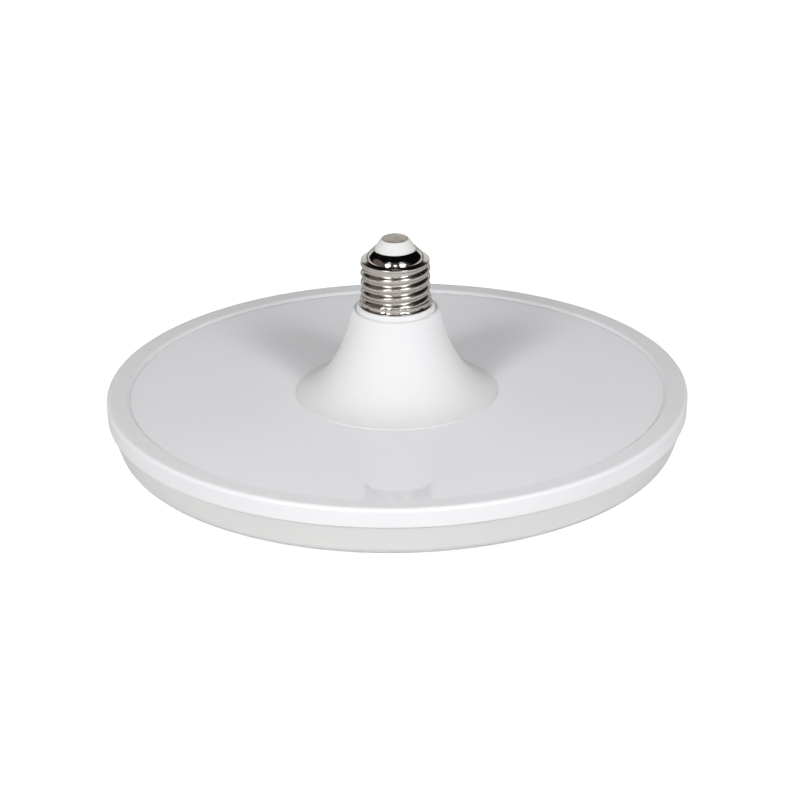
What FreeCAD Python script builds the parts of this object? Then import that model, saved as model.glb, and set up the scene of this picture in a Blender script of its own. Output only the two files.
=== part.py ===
import FreeCAD, Part
import math
import os
import re
import Sketcher

# Flat disc LED lamp with a screw cap, lying on its opal front with the cap upwards.
# The origin is the middle of the flat front that it lies on, and +Z runs up its axis to the cap.
# Sizes are in millimetres, leans and angles in degrees.

SIZES = {
    # Diffuser: an opal dish whose upright collar snaps into the rim ring
    "diffuser_inset": 0.44,
    "diffuser_height": 13.4,
    "diffuser_wall": 1.6,
    "diffuser_lean": 19.6,
    "diffuser_corner": 5.45,
    "collar_wall": 1.3,
    "collar_gap": 0.25,
    # Rim ring: skirt round the plate, and a lip over the plate's edge
    "ring_radius": 110.0,
    "ring_height": 7.55,
    "ring_draft": 0.36,
    "ring_wall": 1.7,
    "ring_edge_round": 1.6,
    "lip_width": 7.74,
    "lip_thickness": 1.05,
    "lip_bevel": 1.3,
    "lip_edge": 0.25,
    "snap_rise": 2.5,
    "snap_depth": 0.35,
    "snap_reach": 0.6,
    "snap_gap": 0.15,
    # Back plate, adhesive sheet and LED board, one under the other
    "plate_thickness": 1.2,
    "plate_gap": 0.3,
    "cable_hole_radius": 9.0,
    "pad_inset": 2.0,
    "pad_thickness": 0.3,
    "led_board_margin": 10.0,
    "led_board_thickness": 1.2,
    # LED chips: three rings of small moulded packages
    "chip_length": 3.5,
    "chip_width": 2.8,
    "chip_height": 0.8,
    "inner_ring_radius": 36.0,
    "ring_spacing": 18.0,
    "inner_ring_count": 16,
    "middle_ring_count": 24,
    "outer_ring_count": 32,
    # Neck cover: a flare of two tangent arcs, whose side leans out from the axis more and more
    "collar_ledge": 2.86,
    "neck_height": 32.8,
    "flare_reach": 21.34,
    "flare_top_lean": 8.4,
    "flare_middle_lean": 35.3,
    "flare_foot_lean": 76.0,
    "foot_edge": 0.5,
    "neck_wall": 1.8,
    "neck_round": 1.25,
    "collar_groove_inset": 0.26,
    "collar_groove_width": 0.3,
    "collar_groove_depth": 0.6,
    "cap_collar_rise": 1.6,
    "cap_collar_gap": 0.1,
    "spigot_wall": 1.5,
    "spigot_headroom": 3.54,
    "spigot_gap": 0.1,
    "ceiling_drop": 1.8,
    # Neck screws and the bosses that take them
    "screw_count": 4,
    "screw_first_angle": 45.0,
    "screw_circle_radius": 21.5,
    "screw_radius": 1.45,
    "screw_length": 8.0,
    "screw_head_radius": 2.8,
    "screw_head_height": 1.8,
    "screw_slot_radius": 1.0,
    "screw_slot_depth": 1.0,
    "screw_hole_gap": 0.25,
    "boss_radius": 3.3,
    "boss_hole_gap": 0.05,
    "boss_hole_extra": 1.0,
    # Screw cap: sheet shell with skirt, thread, a plain band above it, and rounded nose
    "cap_gap": 0.35,
    "cap_sheet": 0.35,
    "skirt_flare": 0.75,
    "skirt_waist_flare": 0.1,
    "skirt_waist_rise": 1.4,
    "skirt_height": 2.6,
    "thread_radius": 13.15,
    "thread_depth": 1.0,
    "thread_pitch": 3.629,
    "thread_ridge_width": 2.9,
    "thread_root_sink": 0.1,
    "thread_start_rise": 1.35,
    "thread_length": 14.5,
    "band_lip": 1.65,
    "band_inset": 0.25,
    "band_height": 0.9,
    "band_slope": 0.5,
    "nose_step": 0.5,
    "nose_inset": 2.26,
    "nose_round": 5.0,
    "nose_foot_lean": 15.0,
    "nose_lean": 43.1,
    "mouth_radius": 8.2,
    "crimp_count": 11,
    "crimp_first_angle": -76.5,
    "crimp_rise": 1.5,
    "crimp_radius": 1.2,
    "crimp_depth": 0.25,
    # Insulator cone and centre contact
    "insulator_gap": 0.1,
    "insulator_top_radius": 5.25,
    "insulator_rise": 3.91,
    "insulator_flange_gap": 0.33,
    "insulator_flange_height": 2.2,
    "insulator_flange_drop": 1.95,
    "contact_inset": 0.35,
    "contact_edge": 0.3,
    "contact_dome": 0.35,
    "contact_pin_radius": 1.6,
    "contact_pin_gap": 0.05,
    "contact_pin_length": 9.2,
    # Driver board, upright in two rails of the neck
    "board_width": 24.0,
    "board_headroom": 1.15,
    "board_thickness": 1.6,
    "board_rise": 2.6,
    "rail_thickness": 4.0,
    "rail_overlap": 1.0,
    "rail_gap": 0.1,
    "rail_rise": 3.5,
    "rail_bite": 0.6,
    # Parts on the front of the driver board
    "bulk_capacitor_radius": 5.0,
    "bulk_capacitor_height": 16.0,
    "bulk_capacitor_across": -5.7,
    "bulk_capacitor_rise": 1.0,
    "output_capacitor_radius": 4.0,
    "output_capacitor_height": 12.0,
    "output_capacitor_across": 5.5,
    "output_capacitor_rise": 1.0,
    "can_end_round": 0.5,
    "film_capacitor_length": 7.0,
    "film_capacitor_width": 4.5,
    "film_capacitor_height": 7.5,
    "film_capacitor_across": -4.4,
    "film_capacitor_gap": 0.4,
    "choke_edge_inset": 5.8,
    "choke_gap": 1.0,
    "choke_radius": 4.5,
    "choke_height": 7.5,
    "choke_flange": 1.2,
    "choke_core_radius": 2.2,
    "winding_inset": 0.6,
    "winding_gap": 0.1,
    # Parts on the back of the driver board
    "bridge_length": 4.7,
    "bridge_width": 4.0,
    "bridge_height": 1.6,
    "bridge_across": -5.0,
    "bridge_rise": 21.5,
    "driver_ic_length": 4.9,
    "driver_ic_width": 3.9,
    "driver_ic_height": 1.5,
    "driver_ic_across": 4.5,
    "driver_ic_rise": 15.0,
    "diode_length": 4.3,
    "diode_width": 2.6,
    "diode_height": 2.2,
    "diode_across": -5.5,
    "diode_rise": 12.0,
    "resistor_length": 3.2,
    "resistor_width": 1.6,
    "resistor_height": 0.55,
    "resistor_across": 6.0,
    "resistor_rise": 2.0,
    "resistor_spacing": 3.0,
    "resistor_count": 4,
    # Fuse resistor and wires
    "fuse_radius": 1.7,
    "fuse_length": 9.0,
    "fuse_drop": 6.0,
    "fuse_end_radius": 0.35,
    "fuse_end_overlap": 3.0,
    "live_lead_radius": 0.6,
    "neutral_lead_radius": 0.5,
    "neutral_lead_inset": 1.6,
    "neutral_lead_overlap": 3.0,
    "neutral_lead_clearance": 0.7,
    "neutral_lead_bend": 1.5,
    "led_lead_radius": 0.6,
    "led_lead_across": 1.6,
    "led_lead_overlap": 4.0,
    "led_lead_bend": 2.0,
    "led_lead_clearance": 1.0,
    "connector_length": 7.0,
    "connector_width": 6.0,
    "connector_height": 3.4,
    "connector_offset": 1.4,
}

FULL_TURN = 360
QUARTER_TURN = 90

# Levels and radii that follow from the sizes
PLACES = {
    "seam": "diffuser_height",
    "rim_top": "seam + ring_height",
    "plate_top": "rim_top - lip_thickness",
    "plate_under": "plate_top - plate_thickness",
    "pad_under": "plate_under - pad_thickness",
    "led_board_under": "pad_under - led_board_thickness",
    "ring_bore": "ring_radius - ring_wall",
    "lip_radius": "ring_radius - lip_width",
    "diffuser_radius": "ring_radius - ring_draft - diffuser_inset",
    "collar_radius": "ring_bore - collar_gap",
    "snap_level": "seam + snap_rise",
    "middle_ring_radius": "inner_ring_radius + ring_spacing",
    "outer_ring_radius": "middle_ring_radius + ring_spacing",
    "led_board_radius": "outer_ring_radius + led_board_margin",
    "pad_radius": "led_board_radius - pad_inset",
    "screw_hole": "screw_radius + screw_hole_gap",
    "screw_across": "screw_circle_radius * cos(screw_first_angle)",
    "screw_up": "screw_circle_radius * sin(screw_first_angle)",
    "screw_tip": "led_board_under + screw_length",
    "connector_distance": "cable_hole_radius + connector_offset",
    "skirt_radius": "thread_radius + skirt_flare",
    "skirt_waist_radius": "thread_radius + skirt_waist_flare",
    "throat_radius": "skirt_radius + collar_ledge",
    "foot_radius": "throat_radius + flare_reach",
    "throat_level": "plate_top + neck_height",
    "neck_top": "throat_level + neck_round",
    "ceiling": "neck_top - ceiling_drop",
    "collar_groove_radius": "throat_radius - neck_round - collar_groove_inset",
    "cap_collar_top": "neck_top + cap_collar_rise",
    "skirt_level": "cap_collar_top + cap_gap",
    "thread_root": "thread_radius - thread_depth",
    "cap_bore": "thread_root - cap_sheet",
    "spigot_radius": "cap_bore - spigot_gap",
    "spigot_bore": "spigot_radius - spigot_wall",
    "thread_start": "skirt_level + thread_start_rise",
    "band_radius": "thread_radius - band_inset",
    "band_top": "thread_start + thread_length + band_lip",
    "band_low": "band_top - band_height",
    "band_foot": "band_low - band_slope",
    "nose_level": "band_top + nose_step",
    "nose_radius": "thread_radius - nose_inset",
    "nose_turn_in": "nose_round * (cos(nose_foot_lean) - cos(nose_lean))",
    "nose_turn_up": "nose_round * (sin(nose_lean) - sin(nose_foot_lean))",
    "nose_shoulder_radius": "nose_radius - nose_turn_in",
    "nose_shoulder_level": "nose_level + nose_turn_up",
    "mouth_level": "nose_shoulder_level + (nose_shoulder_radius - mouth_radius) / tan(nose_lean)",
    "mouth_inside": "mouth_radius - cap_sheet * cos(nose_lean)",
    "mouth_under": "mouth_level - cap_sheet * sin(nose_lean)",
    "shoulder_inside": "nose_shoulder_radius - cap_sheet * cos(nose_lean)",
    "shoulder_under": "nose_shoulder_level - cap_sheet * sin(nose_lean)",
    "nose_inside_foot": "nose_radius - cap_sheet * cos(nose_foot_lean)",
    "spigot_top": "band_foot - spigot_headroom",
    "insulator_shoulder": "mouth_level - insulator_flange_drop",
    "nose_inside": "mouth_inside + (mouth_under - insulator_shoulder) * tan(nose_lean)",
    "insulator_flange_radius": "nose_inside - insulator_flange_gap",
    "contact_level": "mouth_level + insulator_rise",
    "contact_radius": "insulator_top_radius - contact_inset",
    "board_level": "plate_top + board_rise",
    "board_top": "ceiling - board_headroom",
    "board_height": "board_top - board_level",
    "board_front": "fuse_end_radius",
    "neutral_lead_across": "neutral_lead_inset - spigot_bore",
    "board_back": "board_front + board_thickness",
    "film_capacitor_rise": "bulk_capacitor_rise + bulk_capacitor_height + film_capacitor_gap",
    "choke_across": "board_width / 2 - choke_edge_inset",
    "choke_rise": "output_capacitor_rise + output_capacitor_height + choke_gap + choke_radius",
    "winding_radius": "choke_radius - winding_inset",
    # The flare: its height and reach shared out between an upper and a lower arc
    "flare_height": "neck_height - foot_edge",
    "upper_out": "cos(flare_top_lean) - cos(flare_middle_lean)",
    "lower_out": "cos(flare_middle_lean) - cos(flare_foot_lean)",
    "upper_down": "sin(flare_middle_lean) - sin(flare_top_lean)",
    "lower_down": "sin(flare_foot_lean) - sin(flare_middle_lean)",
    "flare_share": "(upper_out) * (lower_down) - (lower_out) * (upper_down)",
    "upper_arc": "(flare_reach * (lower_down) - (lower_out) * flare_height) / flare_share",
    "lower_arc": "((upper_out) * flare_height - (upper_down) * flare_reach) / flare_share",
    "waist_radius": "throat_radius + upper_arc * (upper_out)",
    "waist_level": "throat_level - upper_arc * (upper_down)",
    "lower_centre_radius": "waist_radius + lower_arc * cos(flare_middle_lean)",
    "lower_centre_level": "waist_level + lower_arc * sin(flare_middle_lean)",
}

doc = FreeCAD.newDocument("disc_lamp")
sheet = doc.addObject("Spreadsheet::Sheet", "dim")


def fill_sheet():
    """One row for each driving size: its name beside the cell that holds it."""
    for row, (name, size) in enumerate(SIZES.items(), start=1):
        sheet.set(f"A{row}", name)
        sheet.set(f"B{row}", str(size))
        sheet.setAlias(f"B{row}", name)
    doc.recompute()


def formula(text):
    """The text as an expression: sizes become their cells, places their own formulas."""
    def spell(match):
        word = match.group(0)
        if word in SIZES:
            return f"dim.{word}"
        if word in PLACES:
            return f"({formula(PLACES[word])})"
        return word
    return re.sub(r"[a-z_]+", spell, text)


def value(text):
    return float(sheet.evalExpression(formula(text)))


def bind(thing, path, text):
    thing.setExpression(path, formula(text))


def new_body(label):
    body = doc.addObject("PartDesign::Body", label)
    body.Label = label
    return body


def new_sketch(body, name, plane, level="0"):
    """A sketch on one of the body's own planes, moved along that plane's normal to a level."""
    sketch = body.newObject("Sketcher::SketchObject", f"{body.Name}_{name}")
    base = next(item for item in body.Origin.OriginFeatures if item.Role == plane)
    sketch.AttachmentSupport = [(base, "")]
    sketch.MapMode = "FlatFace"
    if level != "0":
        bind(sketch, "AttachmentOffset.Base.z", level)
    return sketch


def arc_between(start, end, radius, turn):
    """Short arc from start to end, turning left or right, as the sketcher stores it."""
    chord = end - start
    side = FreeCAD.Vector(-chord.y, chord.x, 0).normalize()
    rise = math.sqrt(max(radius ** 2 - (chord.Length / 2) ** 2, 0))
    centre = (start + end) / 2 + side * (rise if turn == "left" else -rise)
    circle = Part.Circle(centre, FreeCAD.Vector(0, 0, 1), radius)
    first, last = (start, end) if turn == "left" else (end, start)
    first_angle = math.atan2(first.y - centre.y, first.x - centre.x)
    last_angle = math.atan2(last.y - centre.y, last.x - centre.x)
    if last_angle < first_angle:
        last_angle += 2 * math.pi
    return Part.ArcOfCircle(circle, first_angle, last_angle)


def fix_point(sketch, geometry, end, across, up):
    """Hold one end of a line or arc at two formulas, measured from the sketch's origin."""
    for kind, axis, text in (("DistanceX", -2, across), ("DistanceY", -1, up)):
        if text == "0":
            sketch.addConstraint(Sketcher.Constraint("PointOnObject", geometry, end, axis))
            continue
        index = sketch.addConstraint(Sketcher.Constraint(kind, -1, 1, geometry, end, value(text)))
        name = f"{kind.lower()}{index}"
        sketch.renameConstraint(index, name)
        bind(sketch, f"Constraints.{name}", text)


def fix_radius(sketch, geometry, text):
    index = sketch.addConstraint(Sketcher.Constraint("Radius", geometry, value(text)))
    sketch.renameConstraint(index, f"radius{index}")
    bind(sketch, f"Constraints.radius{index}", text)


def draw_outline(sketch, corners, closed=True):
    """Lines and arcs from corner to corner. A corner is (across, up), or
    (across, up, radius, turn) where an arc of that radius leads to the next corner."""
    points = [FreeCAD.Vector(value(corner[0]), value(corner[1]), 0) for corner in corners]
    count = len(corners) if closed else len(corners) - 1
    pieces = []
    for index in range(count):
        start, end = points[index], points[(index + 1) % len(points)]
        if len(corners[index]) == 2:
            geometry = sketch.addGeometry(Part.LineSegment(start, end), False)
            pieces.append((geometry, 1, 2))
            continue
        radius, turn = corners[index][2:]
        geometry = sketch.addGeometry(arc_between(start, end, value(radius), turn), False)
        pieces.append((geometry, 1, 2) if turn == "left" else (geometry, 2, 1))
        fix_radius(sketch, geometry, radius)
    for index, (geometry, start_end, last_end) in enumerate(pieces):
        if closed or index + 1 < len(pieces):
            following = pieces[(index + 1) % len(pieces)]
            sketch.addConstraint(
                Sketcher.Constraint("Coincident", geometry, last_end, following[0], following[1]))
        fix_point(sketch, geometry, start_end, corners[index][0], corners[index][1])
    if not closed:
        fix_point(sketch, pieces[-1][0], pieces[-1][2], corners[-1][0], corners[-1][1])


def draw_circle(sketch, across, up, radius):
    centre = FreeCAD.Vector(value(across), value(up), 0)
    circle = Part.Circle(centre, FreeCAD.Vector(0, 0, 1), value(radius))
    geometry = sketch.addGeometry(circle, False)
    fix_point(sketch, geometry, 3, across, up)
    fix_radius(sketch, geometry, radius)


def draw_rectangle(sketch, left, low, right, high):
    draw_outline(sketch, [(left, low), (right, low), (right, high), (left, high)])


def turned(body, name, corners):
    """Solid of revolution about the lamp's axis."""
    sketch = new_sketch(body, f"{name}_outline", "XZ_Plane")
    draw_outline(sketch, corners)
    feature = body.newObject("PartDesign::Revolution", f"{body.Name}_{name}")
    feature.Profile = sketch
    feature.ReferenceAxis = (sketch, ["V_Axis"])
    feature.Angle = FULL_TURN
    return feature


def raised(body, name, sketch, height):
    feature = body.newObject("PartDesign::Pad", f"{body.Name}_{name}")
    feature.Profile = sketch
    bind(feature, "Length", height)
    return feature


def pierced(body, name, sketch, depth):
    """Pocket from the sketch upwards. It has to take material away."""
    doc.recompute()
    before = body.Shape.Volume
    feature = body.newObject("PartDesign::Pocket", f"{body.Name}_{name}")
    feature.Profile = sketch
    feature.Reversed = True
    bind(feature, "Length", depth)
    doc.recompute()
    if body.Shape.Volume >= before:
        raise RuntimeError(f"{feature.Name} cuts nothing")
    return feature


def spread(body, name, features, count):
    """Copies of the features, evenly spaced round the lamp's axis."""
    axis = next(item for item in body.Origin.OriginFeatures if item.Role == "Z_Axis")
    pattern = body.newObject("PartDesign::PolarPattern", f"{body.Name}_{name}")
    pattern.Originals = features
    pattern.Axis = (axis, [""])
    pattern.Angle = FULL_TURN
    bind(pattern, "Occurrences", count)
    body.Tip = pattern
    return pattern


def block(label, left, front, low, length, depth, height):
    """Box from its lowest corner."""
    box = doc.addObject("Part::Box", label)
    box.Label = label
    for path, text in (("Placement.Base.x", left), ("Placement.Base.y", front),
                       ("Placement.Base.z", low), ("Length", length), ("Width", depth),
                       ("Height", height)):
        bind(box, path, text)
    return box


def make_diffuser():
    body = new_body("diffuser")
    half_turn = "tan((90 - diffuser_lean) / 2)"
    foot = "diffuser_radius - diffuser_height * tan(diffuser_lean)"
    tangent = f"diffuser_corner * {half_turn}"
    slope_wall = "diffuser_wall / cos(diffuser_lean)"
    inner_foot = f"{foot} - {slope_wall} + diffuser_wall * tan(diffuser_lean)"
    inner_round = "(diffuser_corner - diffuser_wall)"
    inner_tangent = f"{inner_round} * {half_turn}"
    collar_bore = "collar_radius - collar_wall"
    bend = f"seam - (diffuser_radius - {slope_wall} - ({collar_bore})) / tan(diffuser_lean)"
    turned(body, "dish", [
        ("0", "0"),
        (f"{foot} - {tangent}", "0", "diffuser_corner", "left"),
        (f"{foot} + {tangent} * sin(diffuser_lean)", f"{tangent} * cos(diffuser_lean)"),
        ("diffuser_radius", "seam"),
        ("collar_radius", "seam"),
        ("collar_radius", "snap_level - snap_reach"),
        ("collar_radius + snap_depth", "snap_level"),
        ("collar_radius", "snap_level + snap_reach"),
        ("collar_radius", "plate_under"),
        (collar_bore, "plate_under"),
        (collar_bore, bend),
        (f"{inner_foot} + {inner_tangent} * sin(diffuser_lean)",
         f"diffuser_wall + {inner_tangent} * cos(diffuser_lean)", inner_round, "right"),
        (f"{inner_foot} - {inner_tangent}", "diffuser_wall"),
        ("0", "diffuser_wall"),
    ])
    return body


def make_rim_ring():
    body = new_body("rim_ring")
    notch = "snap_reach + snap_gap"
    turned(body, "section", [
        ("ring_bore", "seam"),
        ("ring_radius - ring_draft", "seam"),
        ("ring_radius", "rim_top - ring_edge_round", "ring_edge_round", "left"),
        ("ring_radius - ring_edge_round", "rim_top"),
        ("lip_radius", "rim_top"),
        ("lip_radius - lip_bevel", "plate_top + lip_edge"),
        ("lip_radius - lip_bevel", "plate_top"),
        ("ring_bore", "plate_top"),
        ("ring_bore", f"snap_level + {notch}"),
        ("ring_bore + snap_depth", "snap_level"),
        ("ring_bore", f"snap_level - {notch}"),
    ])
    return body


def make_sheet(label, radius, level, thickness):
    """Round sheet with the cable hole in the middle and the neck screws' holes round it."""
    body = new_body(label)
    disc = new_sketch(body, "disc_outline", "XY_Plane", level)
    draw_circle(disc, "0", "0", radius)
    raised(body, "disc", disc, thickness)
    middle = new_sketch(body, "cable_hole_outline", "XY_Plane", level)
    draw_circle(middle, "0", "0", "cable_hole_radius")
    pierced(body, "cable_hole", middle, thickness)
    hole = new_sketch(body, "screw_hole_outline", "XY_Plane", level)
    draw_circle(hole, "screw_across", "screw_up", "screw_hole")
    first = pierced(body, "screw_hole", hole, thickness)
    spread(body, "screw_holes", [first], "screw_count")
    return body


def make_led_chips():
    """Three rings of chips on the face of the LED board that looks at the diffuser."""
    body = new_body("led_chips")
    body.AllowCompound = True
    for ring in ("inner", "middle", "outer"):
        radius = f"{ring}_ring_radius"
        sketch = new_sketch(body, f"{ring}_outline", "XY_Plane", "led_board_under - chip_height")
        draw_rectangle(sketch, f"{radius} - chip_width / 2", "-chip_length / 2",
                       f"{radius} + chip_width / 2", "chip_length / 2")
        first = raised(body, f"{ring}_chip", sketch, "chip_height")
        spread(body, f"{ring}_ring", [first], f"{ring}_ring_count")
    return body


def screw_axis(sketch):
    """Upright construction line through the first screw, seen in the plane of its own radius."""
    base = FreeCAD.Vector(value("screw_circle_radius"), 0, 0)
    top = FreeCAD.Vector(base.x, value("screw_tip"), 0)
    geometry = sketch.addGeometry(Part.LineSegment(base, top), True)
    fix_point(sketch, geometry, 1, "screw_circle_radius", "0")
    fix_point(sketch, geometry, 2, "screw_circle_radius", "screw_tip")


def make_neck_screws():
    """Pan-head screws up through LED board, sheet and plate into the neck's bosses."""
    body = new_body("neck_screws")
    body.AllowCompound = True
    sketch = new_sketch(body, "outline", "XZ_Plane")
    middle = "screw_circle_radius"
    head_low = "led_board_under - screw_head_height"
    head_round = "screw_head_height / 2"
    draw_outline(sketch, [
        (middle, f"{head_low} + screw_slot_depth"),
        (f"{middle} + screw_slot_radius", f"{head_low} + screw_slot_depth"),
        (f"{middle} + screw_slot_radius", head_low),
        (f"{middle} + screw_head_radius - {head_round}", head_low, head_round, "left"),
        (f"{middle} + screw_head_radius", f"{head_low} + {head_round}"),
        (f"{middle} + screw_head_radius", "led_board_under"),
        (f"{middle} + screw_radius", "led_board_under"),
        (f"{middle} + screw_radius", "screw_tip - screw_radius"),
        (middle, "screw_tip"),
    ])
    screw_axis(sketch)
    screw = body.newObject("PartDesign::Revolution", "neck_screws_screw")
    screw.Profile = sketch
    screw.ReferenceAxis = (sketch, ["Axis0"])
    screw.Angle = FULL_TURN
    spread(body, "screws", [screw], "screw_count")
    bind(body, "Placement.Rotation.Angle", "screw_first_angle")
    body.Placement.Rotation.Axis = FreeCAD.Vector(0, 0, 1)
    return body


def wall_point(radius, level, lean):
    """The point on the inside of the neck's wall across from a point of its outside."""
    return f"{radius} - neck_wall * cos({lean})", f"{level} - neck_wall * sin({lean})"


def make_neck_cover():
    """Flared moulding from the plate up to the cap, open below."""
    body = new_body("neck_cover")
    drop = "(lower_centre_level - plate_top)"
    inner_foot = f"lower_centre_radius - sqrt((lower_arc + neck_wall)^2 - {drop}^2)"
    groove_inside = "collar_groove_radius - collar_groove_width"
    groove_floor = "neck_top - collar_groove_depth"
    throat = wall_point("throat_radius", "throat_level", "flare_top_lean")
    waist = wall_point("waist_radius", "waist_level", "flare_middle_lean")
    turned(body, "shell", [
        (inner_foot, "plate_top"),
        ("foot_radius", "plate_top"),
        ("foot_radius", "plate_top + foot_edge", "lower_arc", "right"),
        ("waist_radius", "waist_level", "upper_arc", "right"),
        ("throat_radius", "throat_level", "neck_round", "left"),
        ("throat_radius - neck_round", "neck_top"),
        ("collar_groove_radius", "neck_top"),
        ("collar_groove_radius", groove_floor),
        (groove_inside, groove_floor),
        (groove_inside, "neck_top"),
        ("skirt_radius + cap_collar_gap", "cap_collar_top"),
        ("spigot_radius", "cap_collar_top"),
        ("spigot_radius", "spigot_top"),
        ("spigot_bore", "spigot_top"),
        ("spigot_bore", "ceiling"),
        (throat[0], "ceiling"),
        (throat[0], throat[1], "upper_arc + neck_wall", "left"),
        (waist[0], waist[1], "lower_arc + neck_wall", "left"),
    ])
    add_bosses(body)
    add_rails(body)
    return body


def add_bosses(body):
    """Bosses that rise from the plate to the wall, each with a blind hole for its screw."""
    sketch = new_sketch(body, "boss_outline", "XY_Plane", "plate_top")
    draw_circle(sketch, "screw_across", "screw_up", "boss_radius")
    boss = body.newObject("PartDesign::Pad", "neck_cover_boss")
    boss.Profile = sketch
    boss.Type = "UpToFirst"
    doc.recompute()
    spread(body, "bosses", [boss], "screw_count")
    hole = new_sketch(body, "boss_hole_outline", "XY_Plane", "plate_top")
    draw_circle(hole, "screw_across", "screw_up", "screw_radius + boss_hole_gap")
    first = pierced(body, "boss_hole", hole, "screw_tip + boss_hole_extra - plate_top")
    spread(body, "boss_holes", [first], "screw_count")


def add_rails(body):
    """Two upright webs from the wall to the driver board, each with a slot for its edge."""
    edge = "board_width / 2 - rail_overlap"
    low = "plate_top + rail_rise"
    drop = f"(lower_centre_level - ({low}))"
    wall_foot = f"lower_centre_radius - sqrt((lower_arc + neck_wall - rail_bite)^2 - {drop}^2)"
    bitten = "(neck_wall - rail_bite)"
    web = new_sketch(body, "rail_outline", "XZ_Plane", "-(board_front + board_thickness / 2)")
    draw_outline(web, [
        (edge, low),
        (wall_foot, low, f"lower_arc + {bitten}", "right"),
        (f"waist_radius - {bitten} * cos(flare_middle_lean)",
         f"waist_level - {bitten} * sin(flare_middle_lean)", f"upper_arc + {bitten}", "right"),
        (f"throat_radius - {bitten} * cos(flare_top_lean)",
         f"throat_level - {bitten} * sin(flare_top_lean)"),
        (f"throat_radius - {bitten}", "ceiling + rail_bite"),
        (edge, "ceiling + rail_bite"),
    ])
    rail = body.newObject("PartDesign::Pad", "neck_cover_rail")
    rail.Profile = web
    rail.Midplane = True
    bind(rail, "Length", "rail_thickness")
    slot = new_sketch(body, "rail_slot_outline", "XY_Plane", low)
    draw_rectangle(slot, f"{edge} - rail_gap", "board_front - rail_gap",
                   "board_width / 2 + rail_gap", "board_back + rail_gap")
    cut = pierced(body, "rail_slot", slot, f"board_top + rail_gap - ({low})")
    mirror = body.newObject("PartDesign::Mirrored", "neck_cover_rails")
    mirror.Originals = [rail, cut]
    side = next(item for item in body.Origin.OriginFeatures if item.Role == "YZ_Plane")
    mirror.MirrorPlane = (side, [""])
    body.Tip = mirror


def make_cap_shell():
    """Screw shell: flared skirt, root cylinder with its helical ridge, band and rounded nose."""
    body = new_body("cap_shell")
    turned(body, "sheet", [
        ("skirt_radius - cap_sheet", "skirt_level"),
        ("skirt_radius", "skirt_level"),
        ("skirt_waist_radius", "skirt_level + skirt_waist_rise"),
        ("thread_root", "skirt_level + skirt_height"),
        ("thread_root", "band_foot"),
        ("band_radius", "band_low"),
        ("band_radius", "band_top"),
        ("nose_radius", "nose_level", "nose_round", "left"),
        ("nose_shoulder_radius", "nose_shoulder_level"),
        ("mouth_radius", "mouth_level"),
        ("mouth_inside", "mouth_under"),
        ("shoulder_inside", "shoulder_under", "nose_round - cap_sheet", "right"),
        ("nose_inside_foot", "nose_level - cap_sheet * sin(nose_foot_lean)"),
        ("nose_inside_foot", "nose_level - cap_sheet"),
        ("cap_bore", "band_top - cap_sheet"),
        ("cap_bore", "skirt_level + skirt_height"),
        ("skirt_waist_radius - cap_sheet", "skirt_level + skirt_waist_rise"),
    ])
    add_thread(body)
    add_crimps(body)
    return body


def add_thread(body):
    """Right-hand ridge of rounded section, which starts in the skirt and ends in the band."""
    foot = "thread_root - thread_root_sink"
    sketch = new_sketch(body, "ridge_outline", "XZ_Plane")
    rise = "(thread_depth + thread_root_sink)"
    radius = f"((thread_ridge_width / 2)^2 + {rise}^2) / (2 * {rise})"
    draw_outline(sketch, [
        (f"-({foot})", "thread_start - thread_ridge_width / 2"),
        (f"-({foot})", "thread_start + thread_ridge_width / 2", radius, "left"),
    ])
    ridge = body.newObject("PartDesign::AdditiveHelix", "cap_shell_ridge")
    ridge.Profile = sketch
    ridge.ReferenceAxis = (sketch, ["V_Axis"])
    ridge.Mode = "pitch-height-angle"
    ridge.LeftHanded = False
    bind(ridge, "Pitch", "thread_pitch")
    bind(ridge, "Height", "thread_length")


def add_crimps(body):
    """Shallow punch marks round the skirt, which lock the shell on the neck's collar."""
    doc.recompute()
    before = body.Shape.Volume
    punch = body.newObject("PartDesign::SubtractiveSphere", "cap_shell_crimp")
    bind(punch, "Radius", "crimp_radius")
    distance = "(skirt_waist_radius + crimp_radius - crimp_depth)"
    bind(punch, "AttachmentOffset.Base.x", f"{distance} * cos(crimp_first_angle)")
    bind(punch, "AttachmentOffset.Base.y", f"{distance} * sin(crimp_first_angle)")
    bind(punch, "AttachmentOffset.Base.z", "skirt_level + crimp_rise")
    base = next(item for item in body.Origin.OriginFeatures if item.Role == "XY_Plane")
    punch.AttachmentSupport = [(base, "")]
    punch.MapMode = "FlatFace"
    doc.recompute()
    if body.Shape.Volume >= before:
        raise RuntimeError("the crimps cut nothing")
    spread(body, "crimps", [punch], "crimp_count")


def make_cap_insulator():
    """Cone through the shell's mouth, held by a flange under the nose."""
    body = new_body("cap_insulator")
    hole = "contact_pin_radius + contact_pin_gap"
    stem = "mouth_inside - insulator_gap"
    turned(body, "cone", [
        (hole, "insulator_shoulder - insulator_flange_height"),
        ("insulator_flange_radius", "insulator_shoulder - insulator_flange_height"),
        ("insulator_flange_radius", "insulator_shoulder"),
        (stem, "mouth_under - insulator_gap"),
        (stem, "mouth_level"),
        ("insulator_top_radius", "contact_level"),
        (hole, "contact_level"),
    ])
    return body


def make_centre_contact():
    """Rivet with a broad, slightly domed head on the insulator."""
    body = new_body("centre_contact")
    dome = "(contact_radius^2 + contact_dome^2) / (2 * contact_dome)"
    turned(body, "rivet", [
        ("0", "contact_level - contact_pin_length"),
        ("contact_pin_radius", "contact_level - contact_pin_length"),
        ("contact_pin_radius", "contact_level"),
        ("contact_radius", "contact_level"),
        ("contact_radius", "contact_level + contact_edge", dome, "left"),
        ("0", "contact_level + contact_edge + contact_dome"),
    ])
    return body


def make_driver_board():
    return block("driver_board", "-board_width / 2", "board_front", "board_level",
                 "board_width", "board_thickness", "board_height")


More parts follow.
